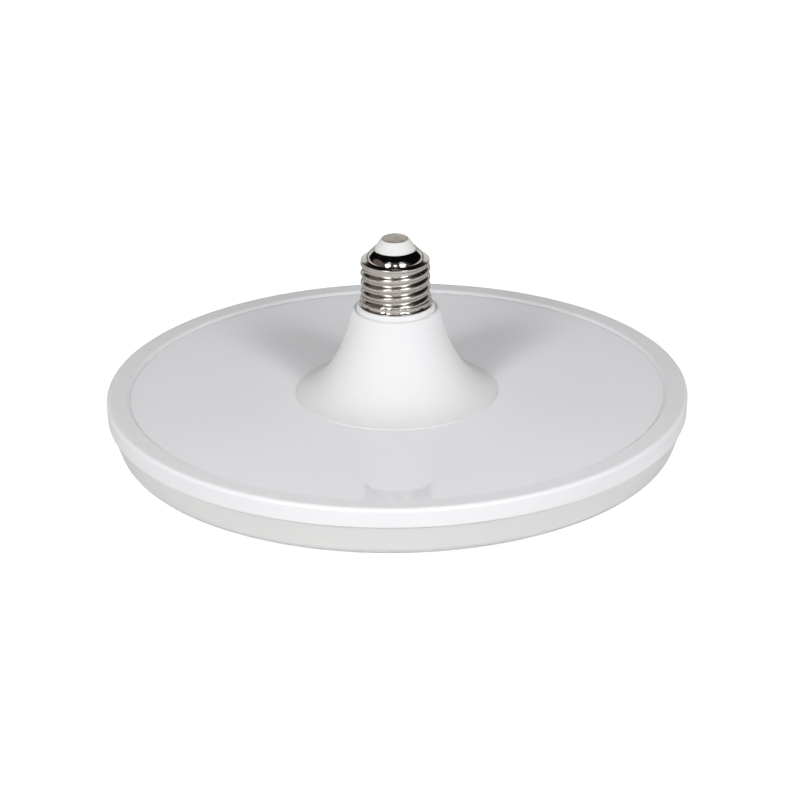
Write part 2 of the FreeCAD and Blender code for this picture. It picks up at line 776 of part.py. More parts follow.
def make_can(name):
    """Electrolytic capacitor lying upright against the front of the board."""
    body = new_body(name)
    turned(body, "can", [
        ("0", "0"),
        (f"{name}_radius - can_end_round", "0", "can_end_round", "left"),
        (f"{name}_radius", "can_end_round"),
        (f"{name}_radius", f"{name}_height - can_end_round", "can_end_round", "left"),
        (f"{name}_radius - can_end_round", f"{name}_height"),
        ("0", f"{name}_height"),
    ])
    bind(body, "Placement.Base.x", f"{name}_across")
    bind(body, "Placement.Base.y", f"board_front - {name}_radius")
    bind(body, "Placement.Base.z", f"board_level + {name}_rise")
    return body


def make_film_capacitor():
    return block("film_capacitor", "film_capacitor_across - film_capacitor_length / 2",
                 "board_front - film_capacitor_width", "board_level + film_capacitor_rise",
                 "film_capacitor_length", "film_capacitor_width", "film_capacitor_height")


def stand_on_board(body):
    """Turn a body made round its own axis so that it stands out from the board's front."""
    body.Placement.Rotation = FreeCAD.Rotation(FreeCAD.Vector(1, 0, 0), QUARTER_TURN)
    bind(body, "Placement.Base.x", "choke_across")
    bind(body, "Placement.Base.y", "board_front")
    bind(body, "Placement.Base.z", "board_level + choke_rise")


def make_choke():
    """Ferrite drum with its copper winding between the two flanges."""
    core = new_body("choke_core")
    turned(core, "drum", [
        ("0", "0"),
        ("choke_radius", "0"),
        ("choke_radius", "choke_flange"),
        ("choke_core_radius", "choke_flange"),
        ("choke_core_radius", "choke_height - choke_flange"),
        ("choke_radius", "choke_height - choke_flange"),
        ("choke_radius", "choke_height"),
        ("0", "choke_height"),
    ])
    stand_on_board(core)
    winding = new_body("choke_winding")
    turned(winding, "coil", [
        ("choke_core_radius + winding_gap", "choke_flange + winding_gap"),
        ("winding_radius", "choke_flange + winding_gap"),
        ("winding_radius", "choke_height - choke_flange - winding_gap"),
        ("choke_core_radius + winding_gap", "choke_height - choke_flange - winding_gap"),
    ])
    stand_on_board(winding)
    return [core, winding]


def make_moulded_part(label, name):
    """Small flat package on the back of the driver board."""
    return block(label, f"{name}_across - {name}_length / 2", "board_back",
                 f"board_level + {name}_rise - {name}_width / 2", f"{name}_length",
                 f"{name}_height", f"{name}_width")


def make_smd_resistors():
    """A column of chip resistors on the back of the driver board."""
    body = new_body("smd_resistors")
    body.AllowCompound = True
    sketch = new_sketch(body, "outline", "XZ_Plane", "-board_back - resistor_height")
    draw_rectangle(sketch, "resistor_across - resistor_length / 2",
                   "board_level + resistor_rise - resistor_width / 2",
                   "resistor_across + resistor_length / 2",
                   "board_level + resistor_rise + resistor_width / 2")
    first = raised(body, "first", sketch, "resistor_height")
    column = body.newObject("PartDesign::LinearPattern", "smd_resistors_column")
    column.Originals = [first]
    column.Direction = (sketch, ["V_Axis"])
    bind(column, "Occurrences", "resistor_count")
    bind(column, "Length", "resistor_spacing * (resistor_count - 1)")
    body.Tip = column
    return body


def make_fuse_resistor():
    """Safety resistor on the lamp's axis, its lower end lying on the front of the board."""
    body = new_body("fuse_resistor")
    top = "contact_level - contact_pin_length - fuse_drop"
    low = f"{top} - fuse_length"
    turned(body, "resistor", [
        ("0", "board_top - fuse_end_overlap"),
        ("fuse_end_radius", "board_top - fuse_end_overlap"),
        ("fuse_end_radius", low),
        ("fuse_radius", low),
        ("fuse_radius", top),
        ("0", top),
    ])
    return body


def make_live_lead():
    """Insulated wire from the centre contact's pin straight down to the fuse resistor."""
    wire = doc.addObject("Part::Cylinder", "live_lead")
    wire.Label = "live_lead"
    bind(wire, "Radius", "live_lead_radius")
    bind(wire, "Height", "fuse_drop")
    bind(wire, "Placement.Base.z", "contact_level - contact_pin_length - fuse_drop")
    return wire


def make_wire(label, plane, offset, route, across, up, radius):
    """Round wire: a circle at the route's first point, swept along lines and arcs in a plane."""
    body = new_body(label)
    path = new_sketch(body, "route", plane, offset)
    draw_outline(path, route, closed=False)
    start = new_sketch(body, "section", "XY_Plane", route[0][1])
    draw_circle(start, across, up, radius)
    pipe = body.newObject("PartDesign::AdditivePipe", f"{label}_wire")
    pipe.Profile = start
    edges = [f"Edge{index + 1}" for index in range(len(route) - 1)]
    pipe.Spine = (path, edges)
    return body


def make_neutral_lead():
    """From the board's front up through the spigot and out to the inside of the shell."""
    up = "spigot_top + neutral_lead_clearance + neutral_lead_radius"
    return make_wire("neutral_lead", "XZ_Plane", "neutral_lead_radius - board_front", [
        ("neutral_lead_across", "board_top - neutral_lead_overlap"),
        ("neutral_lead_across", f"{up} - neutral_lead_bend", "neutral_lead_bend", "left"),
        ("neutral_lead_across - neutral_lead_bend", up),
        ("-cap_bore", up),
    ], "neutral_lead_across", "board_front - neutral_lead_radius", "neutral_lead_radius")


def make_led_lead(label, side):
    """From the back of the driver board down through the cable hole to the LED terminal."""
    across = f"{side} * led_lead_across"
    along = "board_back + led_lead_radius"
    level = "led_board_under - led_lead_clearance - led_lead_radius"
    return make_wire(label, "YZ_Plane", across, [
        (along, "board_level + led_lead_overlap"),
        (along, f"{level} + led_lead_bend", "led_lead_bend", "left"),
        (f"{along} + led_lead_bend", level),
        ("connector_distance", level),
    ], across, along, "led_lead_radius")


def make_led_connector():
    return block("led_connector", "-connector_length / 2", "connector_distance",
                 "led_board_under - connector_height", "connector_length", "connector_width",
                 "connector_height")


def make_all():
    """Every piece of the lamp, from the front up to the cap and then inside."""
    pieces = [
        make_diffuser(),
        make_rim_ring(),
        make_sheet("back_plate", "ring_bore - plate_gap", "plate_under", "plate_thickness"),
        make_sheet("thermal_pad", "pad_radius", "pad_under", "pad_thickness"),
        make_sheet("led_board", "led_board_radius", "led_board_under", "led_board_thickness"),
        make_led_chips(),
        make_led_connector(),
        make_neck_screws(),
        make_neck_cover(),
        make_cap_shell(),
        make_cap_insulator(),
        make_centre_contact(),
        make_driver_board(),
        make_can("bulk_capacitor"),
        make_can("output_capacitor"),
        make_film_capacitor(),
        make_moulded_part("bridge_rectifier", "bridge"),
        make_moulded_part("driver_ic", "driver_ic"),
        make_moulded_part("output_diode", "diode"),
        make_smd_resistors(),
        make_fuse_resistor(),
        make_live_lead(),
        make_neutral_lead(),
        make_led_lead("led_lead_positive", 1),
        make_led_lead("led_lead_negative", -1),
    ]
    return pieces + make_choke()


def check(pieces):
    """Stop if any step of the model failed, or if a piece has no sound solid."""
    for item in doc.Objects:
        if "Invalid" in item.State or "Error" in item.State:
            raise RuntimeError(f"{item.Name} failed: {item.State}")
    for piece in pieces:
        shape = piece.Shape
        if shape.isNull() or not shape.isValid() or not shape.Solids:
            raise RuntimeError(f"{piece.Label} has no sound shape")


fill_sheet()
all_pieces = make_all()
doc.recompute()
check(all_pieces)
os.makedirs("parts", exist_ok=True)
for part in all_pieces:
    part.Shape.exportStep(f"parts/{part.Label}.step")
    print(part.Label, len(part.Shape.Solids), round(part.Shape.Volume, 2))
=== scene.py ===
import math

import bmesh
import bpy
from mathutils import Matrix, Vector


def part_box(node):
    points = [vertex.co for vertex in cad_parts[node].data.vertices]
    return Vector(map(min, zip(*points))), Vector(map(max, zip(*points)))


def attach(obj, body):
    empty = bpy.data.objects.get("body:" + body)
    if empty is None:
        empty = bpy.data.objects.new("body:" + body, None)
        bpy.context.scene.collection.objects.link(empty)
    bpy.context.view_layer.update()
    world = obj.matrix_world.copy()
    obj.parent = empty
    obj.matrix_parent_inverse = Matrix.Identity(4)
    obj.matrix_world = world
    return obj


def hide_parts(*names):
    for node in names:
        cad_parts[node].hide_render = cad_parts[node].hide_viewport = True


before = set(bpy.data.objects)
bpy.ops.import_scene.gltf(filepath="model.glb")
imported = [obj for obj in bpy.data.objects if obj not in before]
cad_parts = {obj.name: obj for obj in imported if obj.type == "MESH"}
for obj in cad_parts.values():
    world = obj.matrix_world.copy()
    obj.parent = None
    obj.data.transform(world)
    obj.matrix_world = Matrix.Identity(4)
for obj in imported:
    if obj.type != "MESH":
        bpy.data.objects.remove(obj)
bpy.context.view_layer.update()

# Lengths are in metres and angles in radians, unless a name says otherwise.
MM = 0.001
DEG = math.pi / 180
ROUND_STEPS = 6
TURN_STEPS = 256
POLE = 1e-7  # a point nearer to the axis than this lies on it


def low(node):
    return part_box(node)[0]


def high(node):
    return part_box(node)[1]


# Levels and radii of the lamp, taken from its solids
SEAM = low("rim_ring").z
RIM_TOP = high("rim_ring").z
RIM_RADIUS = high("rim_ring").x
PLATE_TOP = high("back_plate").z
PLATE_UNDER = low("back_plate").z
DISH_RADIUS = high("diffuser").x
FOOT_RADIUS = high("neck_cover").x
SPIGOT_TOP = high("neck_cover").z
SKIRT_RADIUS = high("cap_shell").x
MOUTH_LEVEL = high("cap_shell").z
CONTACT_LEVEL = high("cap_insulator").z
FLANGE_RADIUS = high("cap_insulator").x
FLANGE_LOW = low("cap_insulator").z
CONTACT_RADIUS = high("centre_contact").x
CONTACT_TOP = high("centre_contact").z
PIN_LOW = low("centre_contact").z


# Outlines: corners of (radius, level) or (radius, level, rounding)

def rounded(corners):
    """The outline's points, with a tangent arc at every corner that has a rounding."""
    points = []
    for index, corner in enumerate(corners):
        here = Vector(corner[:2])
        if len(corner) == 2:
            points.append(here)
            continue
        before = (Vector(corners[index - 1][:2]) - here).normalized()
        after = (Vector(corners[(index + 1) % len(corners)][:2]) - here).normalized()
        half = before.angle(after) / 2
        centre = here + (before + after).normalized() * corner[2] / math.sin(half)
        first = here + before * corner[2] / math.tan(half) - centre
        last = here + after * corner[2] / math.tan(half) - centre
        turn = math.atan2(first.cross(last), first.dot(last))
        for step in range(ROUND_STEPS + 1):
            points.append(centre + Matrix.Rotation(turn * step / ROUND_STEPS, 2) @ first)
    return points


def arc(centre, radius, first, last, steps):
    """Points of an arc from one angle to another, measured from the outward direction."""
    angles = [first + (last - first) * step / steps for step in range(steps + 1)]
    return [Vector((centre[0] + radius * math.cos(a), centre[1] + radius * math.sin(a)))
            for a in angles]


def split(points, spacing):
    """The same open outline with no stretch longer than the spacing."""
    closer = [points[0]]
    for start, end in zip(points, points[1:]):
        parts = max(1, math.ceil((end - start).length / spacing))
        closer += [start.lerp(end, part / parts) for part in range(1, parts + 1)]
    return closer


def sheet_outline(outside, thickness):
    """Both skins of a thin sheet: the open outline, and the same line one thickness inside."""
    inside = []
    for index, point in enumerate(outside):
        along = outside[min(index + 1, len(outside) - 1)] - outside[max(index - 1, 0)]
        inside.append(point - Vector((along.y, -along.x)).normalized() * thickness)
    return outside + inside[::-1]


# Pieces

def outward_mesh(name, points, faces):
    """Closed mesh whose faces all look outwards."""
    mesh = bpy.data.meshes.new(name)
    mesh.from_pydata(points, [], faces)
    shell = bmesh.new()
    shell.from_mesh(mesh)
    bmesh.ops.recalc_face_normals(shell, faces=shell.faces)
    shell.to_mesh(mesh)
    shell.free()
    return mesh


def stacked_mesh(name, rings):
    """Walls from ring to ring, all with as many points, and a flat face at either end."""
    count = len(rings[0])
    last = (len(rings) - 1) * count
    faces = []
    for ring in range(0, last, count):
        for step in range(count):
            beside = (step + 1) % count
            faces.append((ring + step, ring + beside, ring + count + beside, ring + count + step))
    faces += [range(count), range(last, last + count)]
    return outward_mesh(name, [point for ring in rings for point in ring], faces)


def turned_mesh(name, outline, steps=TURN_STEPS):
    """Closed outline turned round the lamp's axis, with shared poles and outward faces."""
    ways = [(math.cos(a), math.sin(a)) for a in (2 * math.pi * s / steps for s in range(steps))]
    points = []
    rings = []
    for radius, level in outline:
        first = len(points)
        if radius < POLE:
            points.append((0, 0, level))
            rings.append([first] * steps)
        else:
            points += [(radius * x, radius * y, level) for x, y in ways]
            rings.append(range(first, first + steps))
    faces = []
    for ring, upper in zip(rings, rings[1:] + rings[:1]):
        for step in range(steps):
            beside = (step + 1) % steps
            corners = dict.fromkeys((ring[step], ring[beside], upper[beside], upper[step]))
            if len(corners) > 2:
                faces.append(list(corners))
    return outward_mesh(name, points, faces)


def add_piece(name, mesh, material):
    piece = bpy.data.objects.new(name, mesh)
    bpy.context.scene.collection.objects.link(piece)
    mesh.materials.append(material)
    return piece


def settle(piece):
    """Turn the piece's modifiers into plain mesh, in the material that it had."""
    bpy.context.view_layer.update()
    evaluated = piece.evaluated_get(bpy.context.evaluated_depsgraph_get())
    final = bpy.data.meshes.new_from_object(evaluated)
    material = piece.data.materials[0]
    piece.modifiers.clear()
    piece.data = final
    final.materials.clear()
    final.materials.append(material)


def smooth(piece):
    """Smooth shading in which large faces keep their flatness."""
    piece.data.shade_smooth()
    piece.modifiers.new("large faces stay flat", "WEIGHTED_NORMAL")
    settle(piece)


def fit(piece, slot_name, *nodes):
    """The piece rides on the lamp and stands for any solids given, which it hides; the slot name
    is not used.
    """
    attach(piece, "root")
    if nodes:
        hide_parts(*nodes)


def dress(node, material):
    """The solid stays as it is and gets its finish."""
    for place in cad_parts[node].material_slots:
        place.material = material


def turned_piece(name, outline, material, slot_name, *nodes):
    piece = add_piece(name, turned_mesh(name, outline), material)
    smooth(piece)
    fit(piece, slot_name, *nodes)
    return piece


# Nodes of every kind

def add_node(tree, kind, inputs=None, **settings):
    """A node with its settings, and its inputs as values or as other nodes' outputs."""
    made = tree.nodes.new(kind)
    for setting, choice in settings.items():
        setattr(made, setting, choice)
    for label, given in (inputs or {}).items():
        if isinstance(given, bpy.types.NodeSocket):
            tree.links.new(given, made.inputs[label])
        else:
            made.inputs[label].default_value = given
    return made


def calc(tree, operation, *values):
    """The result of a sum, product or other function of numbers and outputs."""
    made = add_node(tree, "ShaderNodeMath", dict(enumerate(values)), operation=operation)
    return made.outputs[0]


def ranged(tree, value, start, end, at_start=0.0, at_end=1.0, **settings):
    """A number that changes evenly while the value goes from start to end."""
    made = add_node(tree, "ShaderNodeMapRange", {
        "Value": value, "From Min": start, "From Max": end, "To Min": at_start,
        "To Max": at_end}, **settings)
    return made.outputs["Result"]


# Trees of geometry nodes

class Tree:
    """A geometry tree with a shape passing through it and named sizes as inputs."""

    def __init__(self, name, sizes):
        self.group = bpy.data.node_groups.new(name, "GeometryNodeTree")
        face = self.group.interface
        face.new_socket("Geometry", in_out="INPUT", socket_type="NodeSocketGeometry")
        face.new_socket("Geometry", in_out="OUTPUT", socket_type="NodeSocketGeometry")
        self.sockets = {}
        for label, size in sizes.items():
            kind = "NodeSocketInt" if isinstance(size, int) else "NodeSocketFloat"
            self.sockets[label] = face.new_socket(label, in_out="INPUT", socket_type=kind)
        self.sizes = sizes
        self.source = self.group.nodes.new("NodeGroupInput")

    def size(self, label):
        return self.source.outputs[label]

    def node(self, kind, inputs=None, **settings):
        return add_node(self.group, kind, inputs, **settings)

    def calc(self, operation, *values):
        return calc(self.group, operation, *values)

    def finish(self, shape):
        """End in real geometry that has the material of the piece."""
        real = self.node("GeometryNodeRealizeInstances", {"Geometry": shape})
        self.coat = self.node("GeometryNodeSetMaterial", {"Geometry": real.outputs[0]})
        self.node("NodeGroupOutput", {"Geometry": self.coat.outputs[0]})

    def run(self, piece):
        """Put the tree on the piece, set its sizes, and keep the result as plain mesh."""
        self.coat.inputs["Material"].default_value = piece.data.materials[0]
        modifier = piece.modifiers.new(self.group.name, "NODES")
        modifier.node_group = self.group
        for label, size in self.sizes.items():
            modifier[self.sockets[label].identifier] = size
        settle(piece)


# Shader groups and materials

def vector_calc(tree, operation, *values):
    """The result of a function of vectors; a length comes out as a number."""
    made = add_node(tree, "ShaderNodeVectorMath", dict(enumerate(values)), operation=operation)
    return made.outputs["Value" if operation == "LENGTH" else "Vector"]


def object_place(tree):
    """Where a point lies, in the coordinates of its piece."""
    return add_node(tree, "ShaderNodeTexCoord").outputs["Object"]


def noise(tree, place, scale, detail=2.0, roughness=0.5):
    """Cloudy number between nought and one."""
    return add_node(tree, "ShaderNodeTexNoise", {
        "Vector": place, "Scale": scale, "Detail": detail, "Roughness": roughness}).outputs["Fac"]


def blend(tree, share, first, second):
    """First colour where the share is nought, second where it is one."""
    return add_node(tree, "ShaderNodeMix", {"Factor": share, 6: first, 7: second},
                    data_type="RGBA").outputs[2]


def colour_ramp(tree, value, first, second, start=0.0, end=1.0):
    """First colour up to the start, second from the end on."""
    ramp = add_node(tree, "ShaderNodeValToRGB", {"Fac": value})
    for stop, position, colour in zip(ramp.color_ramp.elements, (start, end), (first, second)):
        stop.position = position
        stop.color = (*colour, 1)
    return ramp.outputs["Color"]


def shader_group(name, inputs, outputs):
    """Empty shader group with named inputs and outputs, and the sockets of its inputs."""
    group = bpy.data.node_groups.new(name, "ShaderNodeTree")
    for label, (kind, default) in inputs.items():
        socket = group.interface.new_socket(label, in_out="INPUT", socket_type=kind)
        socket.default_value = default
    for label, kind in outputs.items():
        group.interface.new_socket(label, in_out="OUTPUT", socket_type=kind)
    return group, group.nodes.new("NodeGroupInput").outputs


COLOUR = "NodeSocketColor"
NUMBER = "NodeSocketFloat"
SURFACE = {"Colour": COLOUR, "Roughness": NUMBER, "Height": NUMBER}


def make_moulded_skin():
    """Moulded or painted skin: cloudy colour, uneven gloss and a fine grain in the height."""
    group, given = shader_group("moulded skin", {
        "Colour": (COLOUR, (0.8, 0.8, 0.8, 1)),
        "Cloud colour": (COLOUR, (0.75, 0.75, 0.75, 1)),
        "Cloud scale": (NUMBER, 12.0),
        "Grain scale": (NUMBER, 900.0),
        "Gloss side": (NUMBER, 0.3),
        "Dull side": (NUMBER, 0.4),
    }, SURFACE)
    place = object_place(group)
    clouds = noise(group, place, given["Cloud scale"], 4.0)
    add_node(group, "NodeGroupOutput", {
        "Colour": blend(group, clouds, given["Colour"], given["Cloud colour"]),
        "Roughness": ranged(group, clouds, 0.3, 0.7, given["Gloss side"], given["Dull side"]),
        "Height": noise(group, place, given["Grain scale"])})
    return group


def make_fine_marks():
    """Hairline handling marks: thin streaks in one direction, broken up by noise."""
    group, given = shader_group("fine marks", {
        "Scale": (NUMBER, 60.0), "Stretch": (NUMBER, 12.0), "Amount": (NUMBER, 0.5),
    }, {"Mask": NUMBER})
    place = object_place(group)
    stretch = add_node(group, "ShaderNodeCombineXYZ", {
        "X": 1.0, "Y": 1.0, "Z": given["Stretch"]}).outputs[0]
    streaks = noise(group, vector_calc(group, "MULTIPLY", place, stretch), given["Scale"], 6.0)
    patches = noise(group, place, 35.0)
    both = calc(group, "MULTIPLY", ranged(group, streaks, 0.56, 0.72),
                ranged(group, patches, 0.4, 0.65))
    add_node(group, "NodeGroupOutput", {"Mask": calc(group, "MULTIPLY", both, given["Amount"])})
    return group


def make_board_print():
    """Solder mask over copper: raised islands with thin, darker gaps between them."""
    group, given = shader_group("board print", {
        "Colour": (COLOUR, (0.8, 0.8, 0.8, 1)),
        "Gap colour": (COLOUR, (0.7, 0.7, 0.7, 1)),
        "Scale": (NUMBER, 150.0),
    }, SURFACE)
    place = object_place(group)
    nearest, second = [add_node(group, "ShaderNodeTexVoronoi", {
        "Vector": place, "Scale": given["Scale"]}, distance="CHEBYCHEV",
        feature=feature).outputs["Distance"] for feature in ("F1", "F2")]
    island = ranged(group, calc(group, "SUBTRACT", second, nearest), 0.03, 0.06)
    add_node(group, "NodeGroupOutput", {
        "Colour": blend(group, island, given["Gap colour"], given["Colour"]),
        "Roughness": ranged(group, noise(group, place, 60.0), 0.0, 1.0, 0.28, 0.48),
        "Height": island})
    return group


MOULDED_SKIN = make_moulded_skin()
FINE_MARKS = make_fine_marks()
BOARD_PRINT = make_board_print()


def shader_inputs(material):
    return material.node_tree.nodes["Principled BSDF"].inputs


def new_material(name, **sockets):
    """A material whose fixed values sit on the shader's own sockets."""
    material = bpy.data.materials.new(name)
    material.use_nodes = True
    for label, given in sockets.items():
        shader_inputs(material)[label.replace("_", " ")].default_value = given
    return material


def surface(material, colour, roughness, height, depth):
    """Give the material's shader a colour, a roughness and bumps of some depth."""
    tree = material.node_tree
    inputs = shader_inputs(material)
    bump = add_node(tree, "ShaderNodeBump", {
        "Height": height, "Strength": 1.0, "Distance": depth})
    tree.links.new(colour, inputs["Base Color"])
    tree.links.new(roughness, inputs["Roughness"])
    tree.links.new(bump.outputs["Normal"], inputs["Normal"])


def skin(name, colour, cloud_colour, gloss, dull, grain_scale=900.0, grain_depth=0.02,
         cloud_scale=12.0, **sockets):
    """Moulded, painted or plated skin; the depth of its grain is in millimetres."""
    material = new_material(name, **sockets)
    group = add_node(material.node_tree, "ShaderNodeGroup", {
        "Colour": (*colour, 1), "Cloud colour": (*cloud_colour, 1), "Cloud scale": cloud_scale,
        "Grain scale": grain_scale, "Gloss side": gloss, "Dull side": dull,
    }, node_tree=MOULDED_SKIN).outputs
    surface(material, group["Colour"], group["Roughness"], group["Height"], grain_depth * MM)
    return material


def distance_mask(material, centre, axes, inner, outer):
    """One inside, nought outside: how far a point is from the centre, along some axes only."""
    tree = material.node_tree
    away = vector_calc(tree, "SUBTRACT", object_place(tree), centre)
    reach = vector_calc(tree, "LENGTH", vector_calc(tree, "MULTIPLY", away, axes))
    return ranged(tree, reach, outer, inner)


def inlay(material, mask, colour, metallic, roughness):
    """Another finish where the mask is one."""
    tree = material.node_tree
    finish = {"Base Color": (*colour, 1), "Metallic": metallic, "Roughness": roughness}
    for label, value in finish.items():
        socket = shader_inputs(material)[label]
        kind, first, result = ("RGBA", 6, 2) if label == "Base Color" else ("FLOAT", 2, 0)
        mix = add_node(tree, "ShaderNodeMix", {0: mask, first + 1: value}, data_type=kind)
        mix.inputs[first].default_value = socket.default_value
        for link in socket.links:
            tree.links.new(link.from_socket, mix.inputs[first])
        tree.links.new(mix.outputs[result], socket)


OPAL = skin("opal dish", (0.775, 0.775, 0.768), (0.745, 0.745, 0.74), 0.38, 0.46,
            grain_scale=1400.0, grain_depth=0.004)
RIM_WHITE = skin("white rim", (0.84, 0.84, 0.86), (0.82, 0.82, 0.84), 0.32, 0.40,
                 grain_scale=1100.0, grain_depth=0.004)
PLATE_PAINT = skin("glossy plate paint", (0.865, 0.865, 0.895), (0.845, 0.845, 0.875), 0.015, 0.03,
                   grain_scale=160.0, grain_depth=0.003, cloud_scale=5.0)
NECK_WHITE = skin("white neck", (0.785, 0.785, 0.797), (0.765, 0.765, 0.777), 0.55, 0.65,
                  grain_scale=1600.0, grain_depth=0.006)
CAP_WHITE = skin("white insulator", (0.775, 0.775, 0.765), (0.74, 0.74, 0.73), 0.16, 0.24,
                 grain_scale=700.0, grain_depth=0.006, cloud_scale=90.0)


# Above this level the sheet is polished; below it the thread's rolling has dulled it
THREAD_END = MOUTH_LEVEL - 4.6 * MM
THREAD_FADE = 1.0 * MM
ROLLED_DULLNESS = 0.16
MARK_DULLNESS = 0.2
MARK_DEPTH = 0.002 * MM
SOLDER_DEPTH = 0.06 * MM
# Radii between which a painted shade ring darkens the rivet head's outer edge
SHADE_RING_INNER = 4.45 * MM
SHADE_RING_OUTER = 4.75 * MM


def make_nickel():
    """Polished nickel plate, duller where the thread was rolled, with hairline marks."""
    material = new_material("polished nickel", Metallic=1.0)
    tree = material.node_tree
    cloudy = add_node(tree, "ShaderNodeGroup", {
        "Colour": (0.70, 0.655, 0.61, 1), "Cloud colour": (0.66, 0.62, 0.585, 1),
        "Cloud scale": 120.0, "Gloss side": 0.05, "Dull side": 0.09,
    }, node_tree=MOULDED_SKIN).outputs
    marks = add_node(tree, "ShaderNodeGroup", {"Amount": 0.35, "Scale": 900.0},
                     node_tree=FINE_MARKS).outputs["Mask"]
    height = add_node(tree, "ShaderNodeSeparateXYZ", {0: object_place(tree)}).outputs["Z"]
    rolled = ranged(tree, height, THREAD_END, THREAD_END + THREAD_FADE, ROLLED_DULLNESS, 0.0)
    worn = calc(tree, "MULTIPLY_ADD", marks, MARK_DULLNESS, rolled)
    duller = calc(tree, "ADD", worn, cloudy["Roughness"])
    surface(material, cloudy["Colour"], duller, marks, MARK_DEPTH)
    return material


def make_tinned_contact():
    """Dull tinned rivet: brownish patches, uneven surface, and a painted shade ring darkening the
    head's outer edge.
    """
    material = new_material("tinned contact", Metallic=0.3)
    tree = material.node_tree
    patches = noise(tree, object_place(tree), 260.0, 5.0, 0.6)
    tint = colour_ramp(tree, patches, (0.43, 0.38, 0.315), (0.66, 0.61, 0.54), 0.30, 0.62)
    dull = ranged(tree, patches, 0.3, 0.7, 0.55, 0.32)
    surface(material, tint, dull, patches, SOLDER_DEPTH)
    # Painted shade: a dark ring round the head's outer edge, broken up by the patches
    ragged = ranged(tree, patches, 0.38, 0.5, 1.0, 0.55)
    rim = distance_mask(material, (0, 0, 0), (1, 1, 0), SHADE_RING_OUTER, SHADE_RING_INNER)
    inlay(material, calc(tree, "MULTIPLY", rim, ragged), (0.13, 0.11, 0.085), 0.3, 0.5)
    return material


NICKEL = make_nickel()
TINNED = make_tinned_contact()

# The front, its rim and the plate

RIM_WALL = 1.7 * MM
RIM_DRAFT = 0.36 * MM
RIM_ROUND = 1.6 * MM
LIP_WIDTH = 7.74 * MM
LIP_BEVEL = 1.3 * MM
LIP_EDGE = 0.25 * MM
LIP_ROUND = 0.35 * MM
SNAP_RISE = 2.5 * MM
SNAP_REACH = 0.6 * MM
SNAP_DEPTH = 0.35 * MM
SNAP_GAP = 0.15 * MM
EDGE_ROUND = 0.12 * MM
DISH_WALL = 1.6 * MM
DISH_LEAN = 19.6 * DEG
DISH_CORNER = 5.45 * MM
SHOULDER_ROUND = 0.35 * MM
COLLAR_WALL = 1.3 * MM
COLLAR_GAP = 0.25 * MM
RIM_BORE = RIM_RADIUS - RIM_WALL


def make_rim():
    """White ring round the plate's edge, its lip lying on the plate."""
    lip = RIM_RADIUS - LIP_WIDTH
    snap = SEAM + SNAP_RISE
    notch = SNAP_REACH + SNAP_GAP
    outline = rounded([
        (RIM_BORE, SEAM, EDGE_ROUND),
        (RIM_RADIUS - RIM_DRAFT, SEAM, EDGE_ROUND * 2),
        (RIM_RADIUS, RIM_TOP, RIM_ROUND),
        (lip, RIM_TOP, LIP_ROUND),
        (lip - LIP_BEVEL, PLATE_TOP + LIP_EDGE, EDGE_ROUND),
        (lip - LIP_BEVEL, PLATE_TOP),
        (RIM_BORE, PLATE_TOP),
        (RIM_BORE, snap + notch),
        (RIM_BORE + SNAP_DEPTH, snap),
        (RIM_BORE, snap - notch),
    ])
    turned_piece("rim_band", outline, RIM_WHITE, "rim_white", "rim_ring")


def make_dish():
    """Opal dish whose upright collar snaps into the rim."""
    collar = RIM_BORE - COLLAR_GAP
    bore = collar - COLLAR_WALL
    foot = DISH_RADIUS - SEAM * math.tan(DISH_LEAN)
    slope_wall = DISH_WALL / math.cos(DISH_LEAN)
    inner_foot = foot - slope_wall + DISH_WALL * math.tan(DISH_LEAN)
    bend = SEAM - (DISH_RADIUS - slope_wall - bore) / math.tan(DISH_LEAN)
    snap = SEAM + SNAP_RISE
    outline = rounded([
        (0, 0),
        (foot, 0, DISH_CORNER),
        (DISH_RADIUS, SEAM, SHOULDER_ROUND),
        (collar, SEAM, EDGE_ROUND),
        (collar, snap - SNAP_REACH),
        (collar + SNAP_DEPTH, snap, EDGE_ROUND),
        (collar, snap + SNAP_REACH),
        (collar, PLATE_UNDER, EDGE_ROUND),
        (bore, PLATE_UNDER, EDGE_ROUND),
        (bore, bend, DISH_WALL),
        (inner_foot, DISH_WALL, DISH_CORNER - DISH_WALL),
        (0, DISH_WALL),
    ])
    turned_piece("opal_dish", outline, OPAL, "opal", "diffuser")


# The neck: a flare of two tangent arcs, then the collar and the spigot that carries the cap

NECK_WALL = 1.8 * MM
NECK_HEIGHT = 32.8 * MM
THROAT_RADIUS = 16.76 * MM
TOP_LEAN = 8.4 * DEG
MIDDLE_LEAN = 35.3 * DEG
FOOT_LEAN = 76.0 * DEG
FOOT_EDGE = 0.5 * MM
NECK_ROUND = 1.25 * MM
GROOVE_RADIUS = 15.25 * MM
GROOVE_WIDTH = 0.3 * MM
GROOVE_DEPTH = 0.6 * MM
COLLAR_RADIUS = SKIRT_RADIUS + 0.1 * MM
COLLAR_RISE = 1.6 * MM
SPIGOT_RADIUS = 11.7 * MM
SPIGOT_BORE = 10.2 * MM
CEILING_DROP = 1.8 * MM
FLARE_STEPS = 28
CORE_STEPS = 12
FOOT_BEVEL = 0.1 * MM
BOSS_COUNT = 4
FIRST_BOSS = 45 * DEG
BOSS_STEPS = 48
BOSS_CIRCLE = 21.5 * MM
BOSS_RADIUS = 3.3 * MM
BOSS_HOLE = 1.5 * MM
BOSS_HOLE_TOP = PLATE_TOP + 6.3 * MM
RAIL_THICKNESS = 4.0 * MM
RAIL_OVERLAP = 1.0 * MM
RAIL_GAP = 0.1 * MM
RAIL_RISE = 3.5 * MM
CORE_BITE = 0.6 * MM


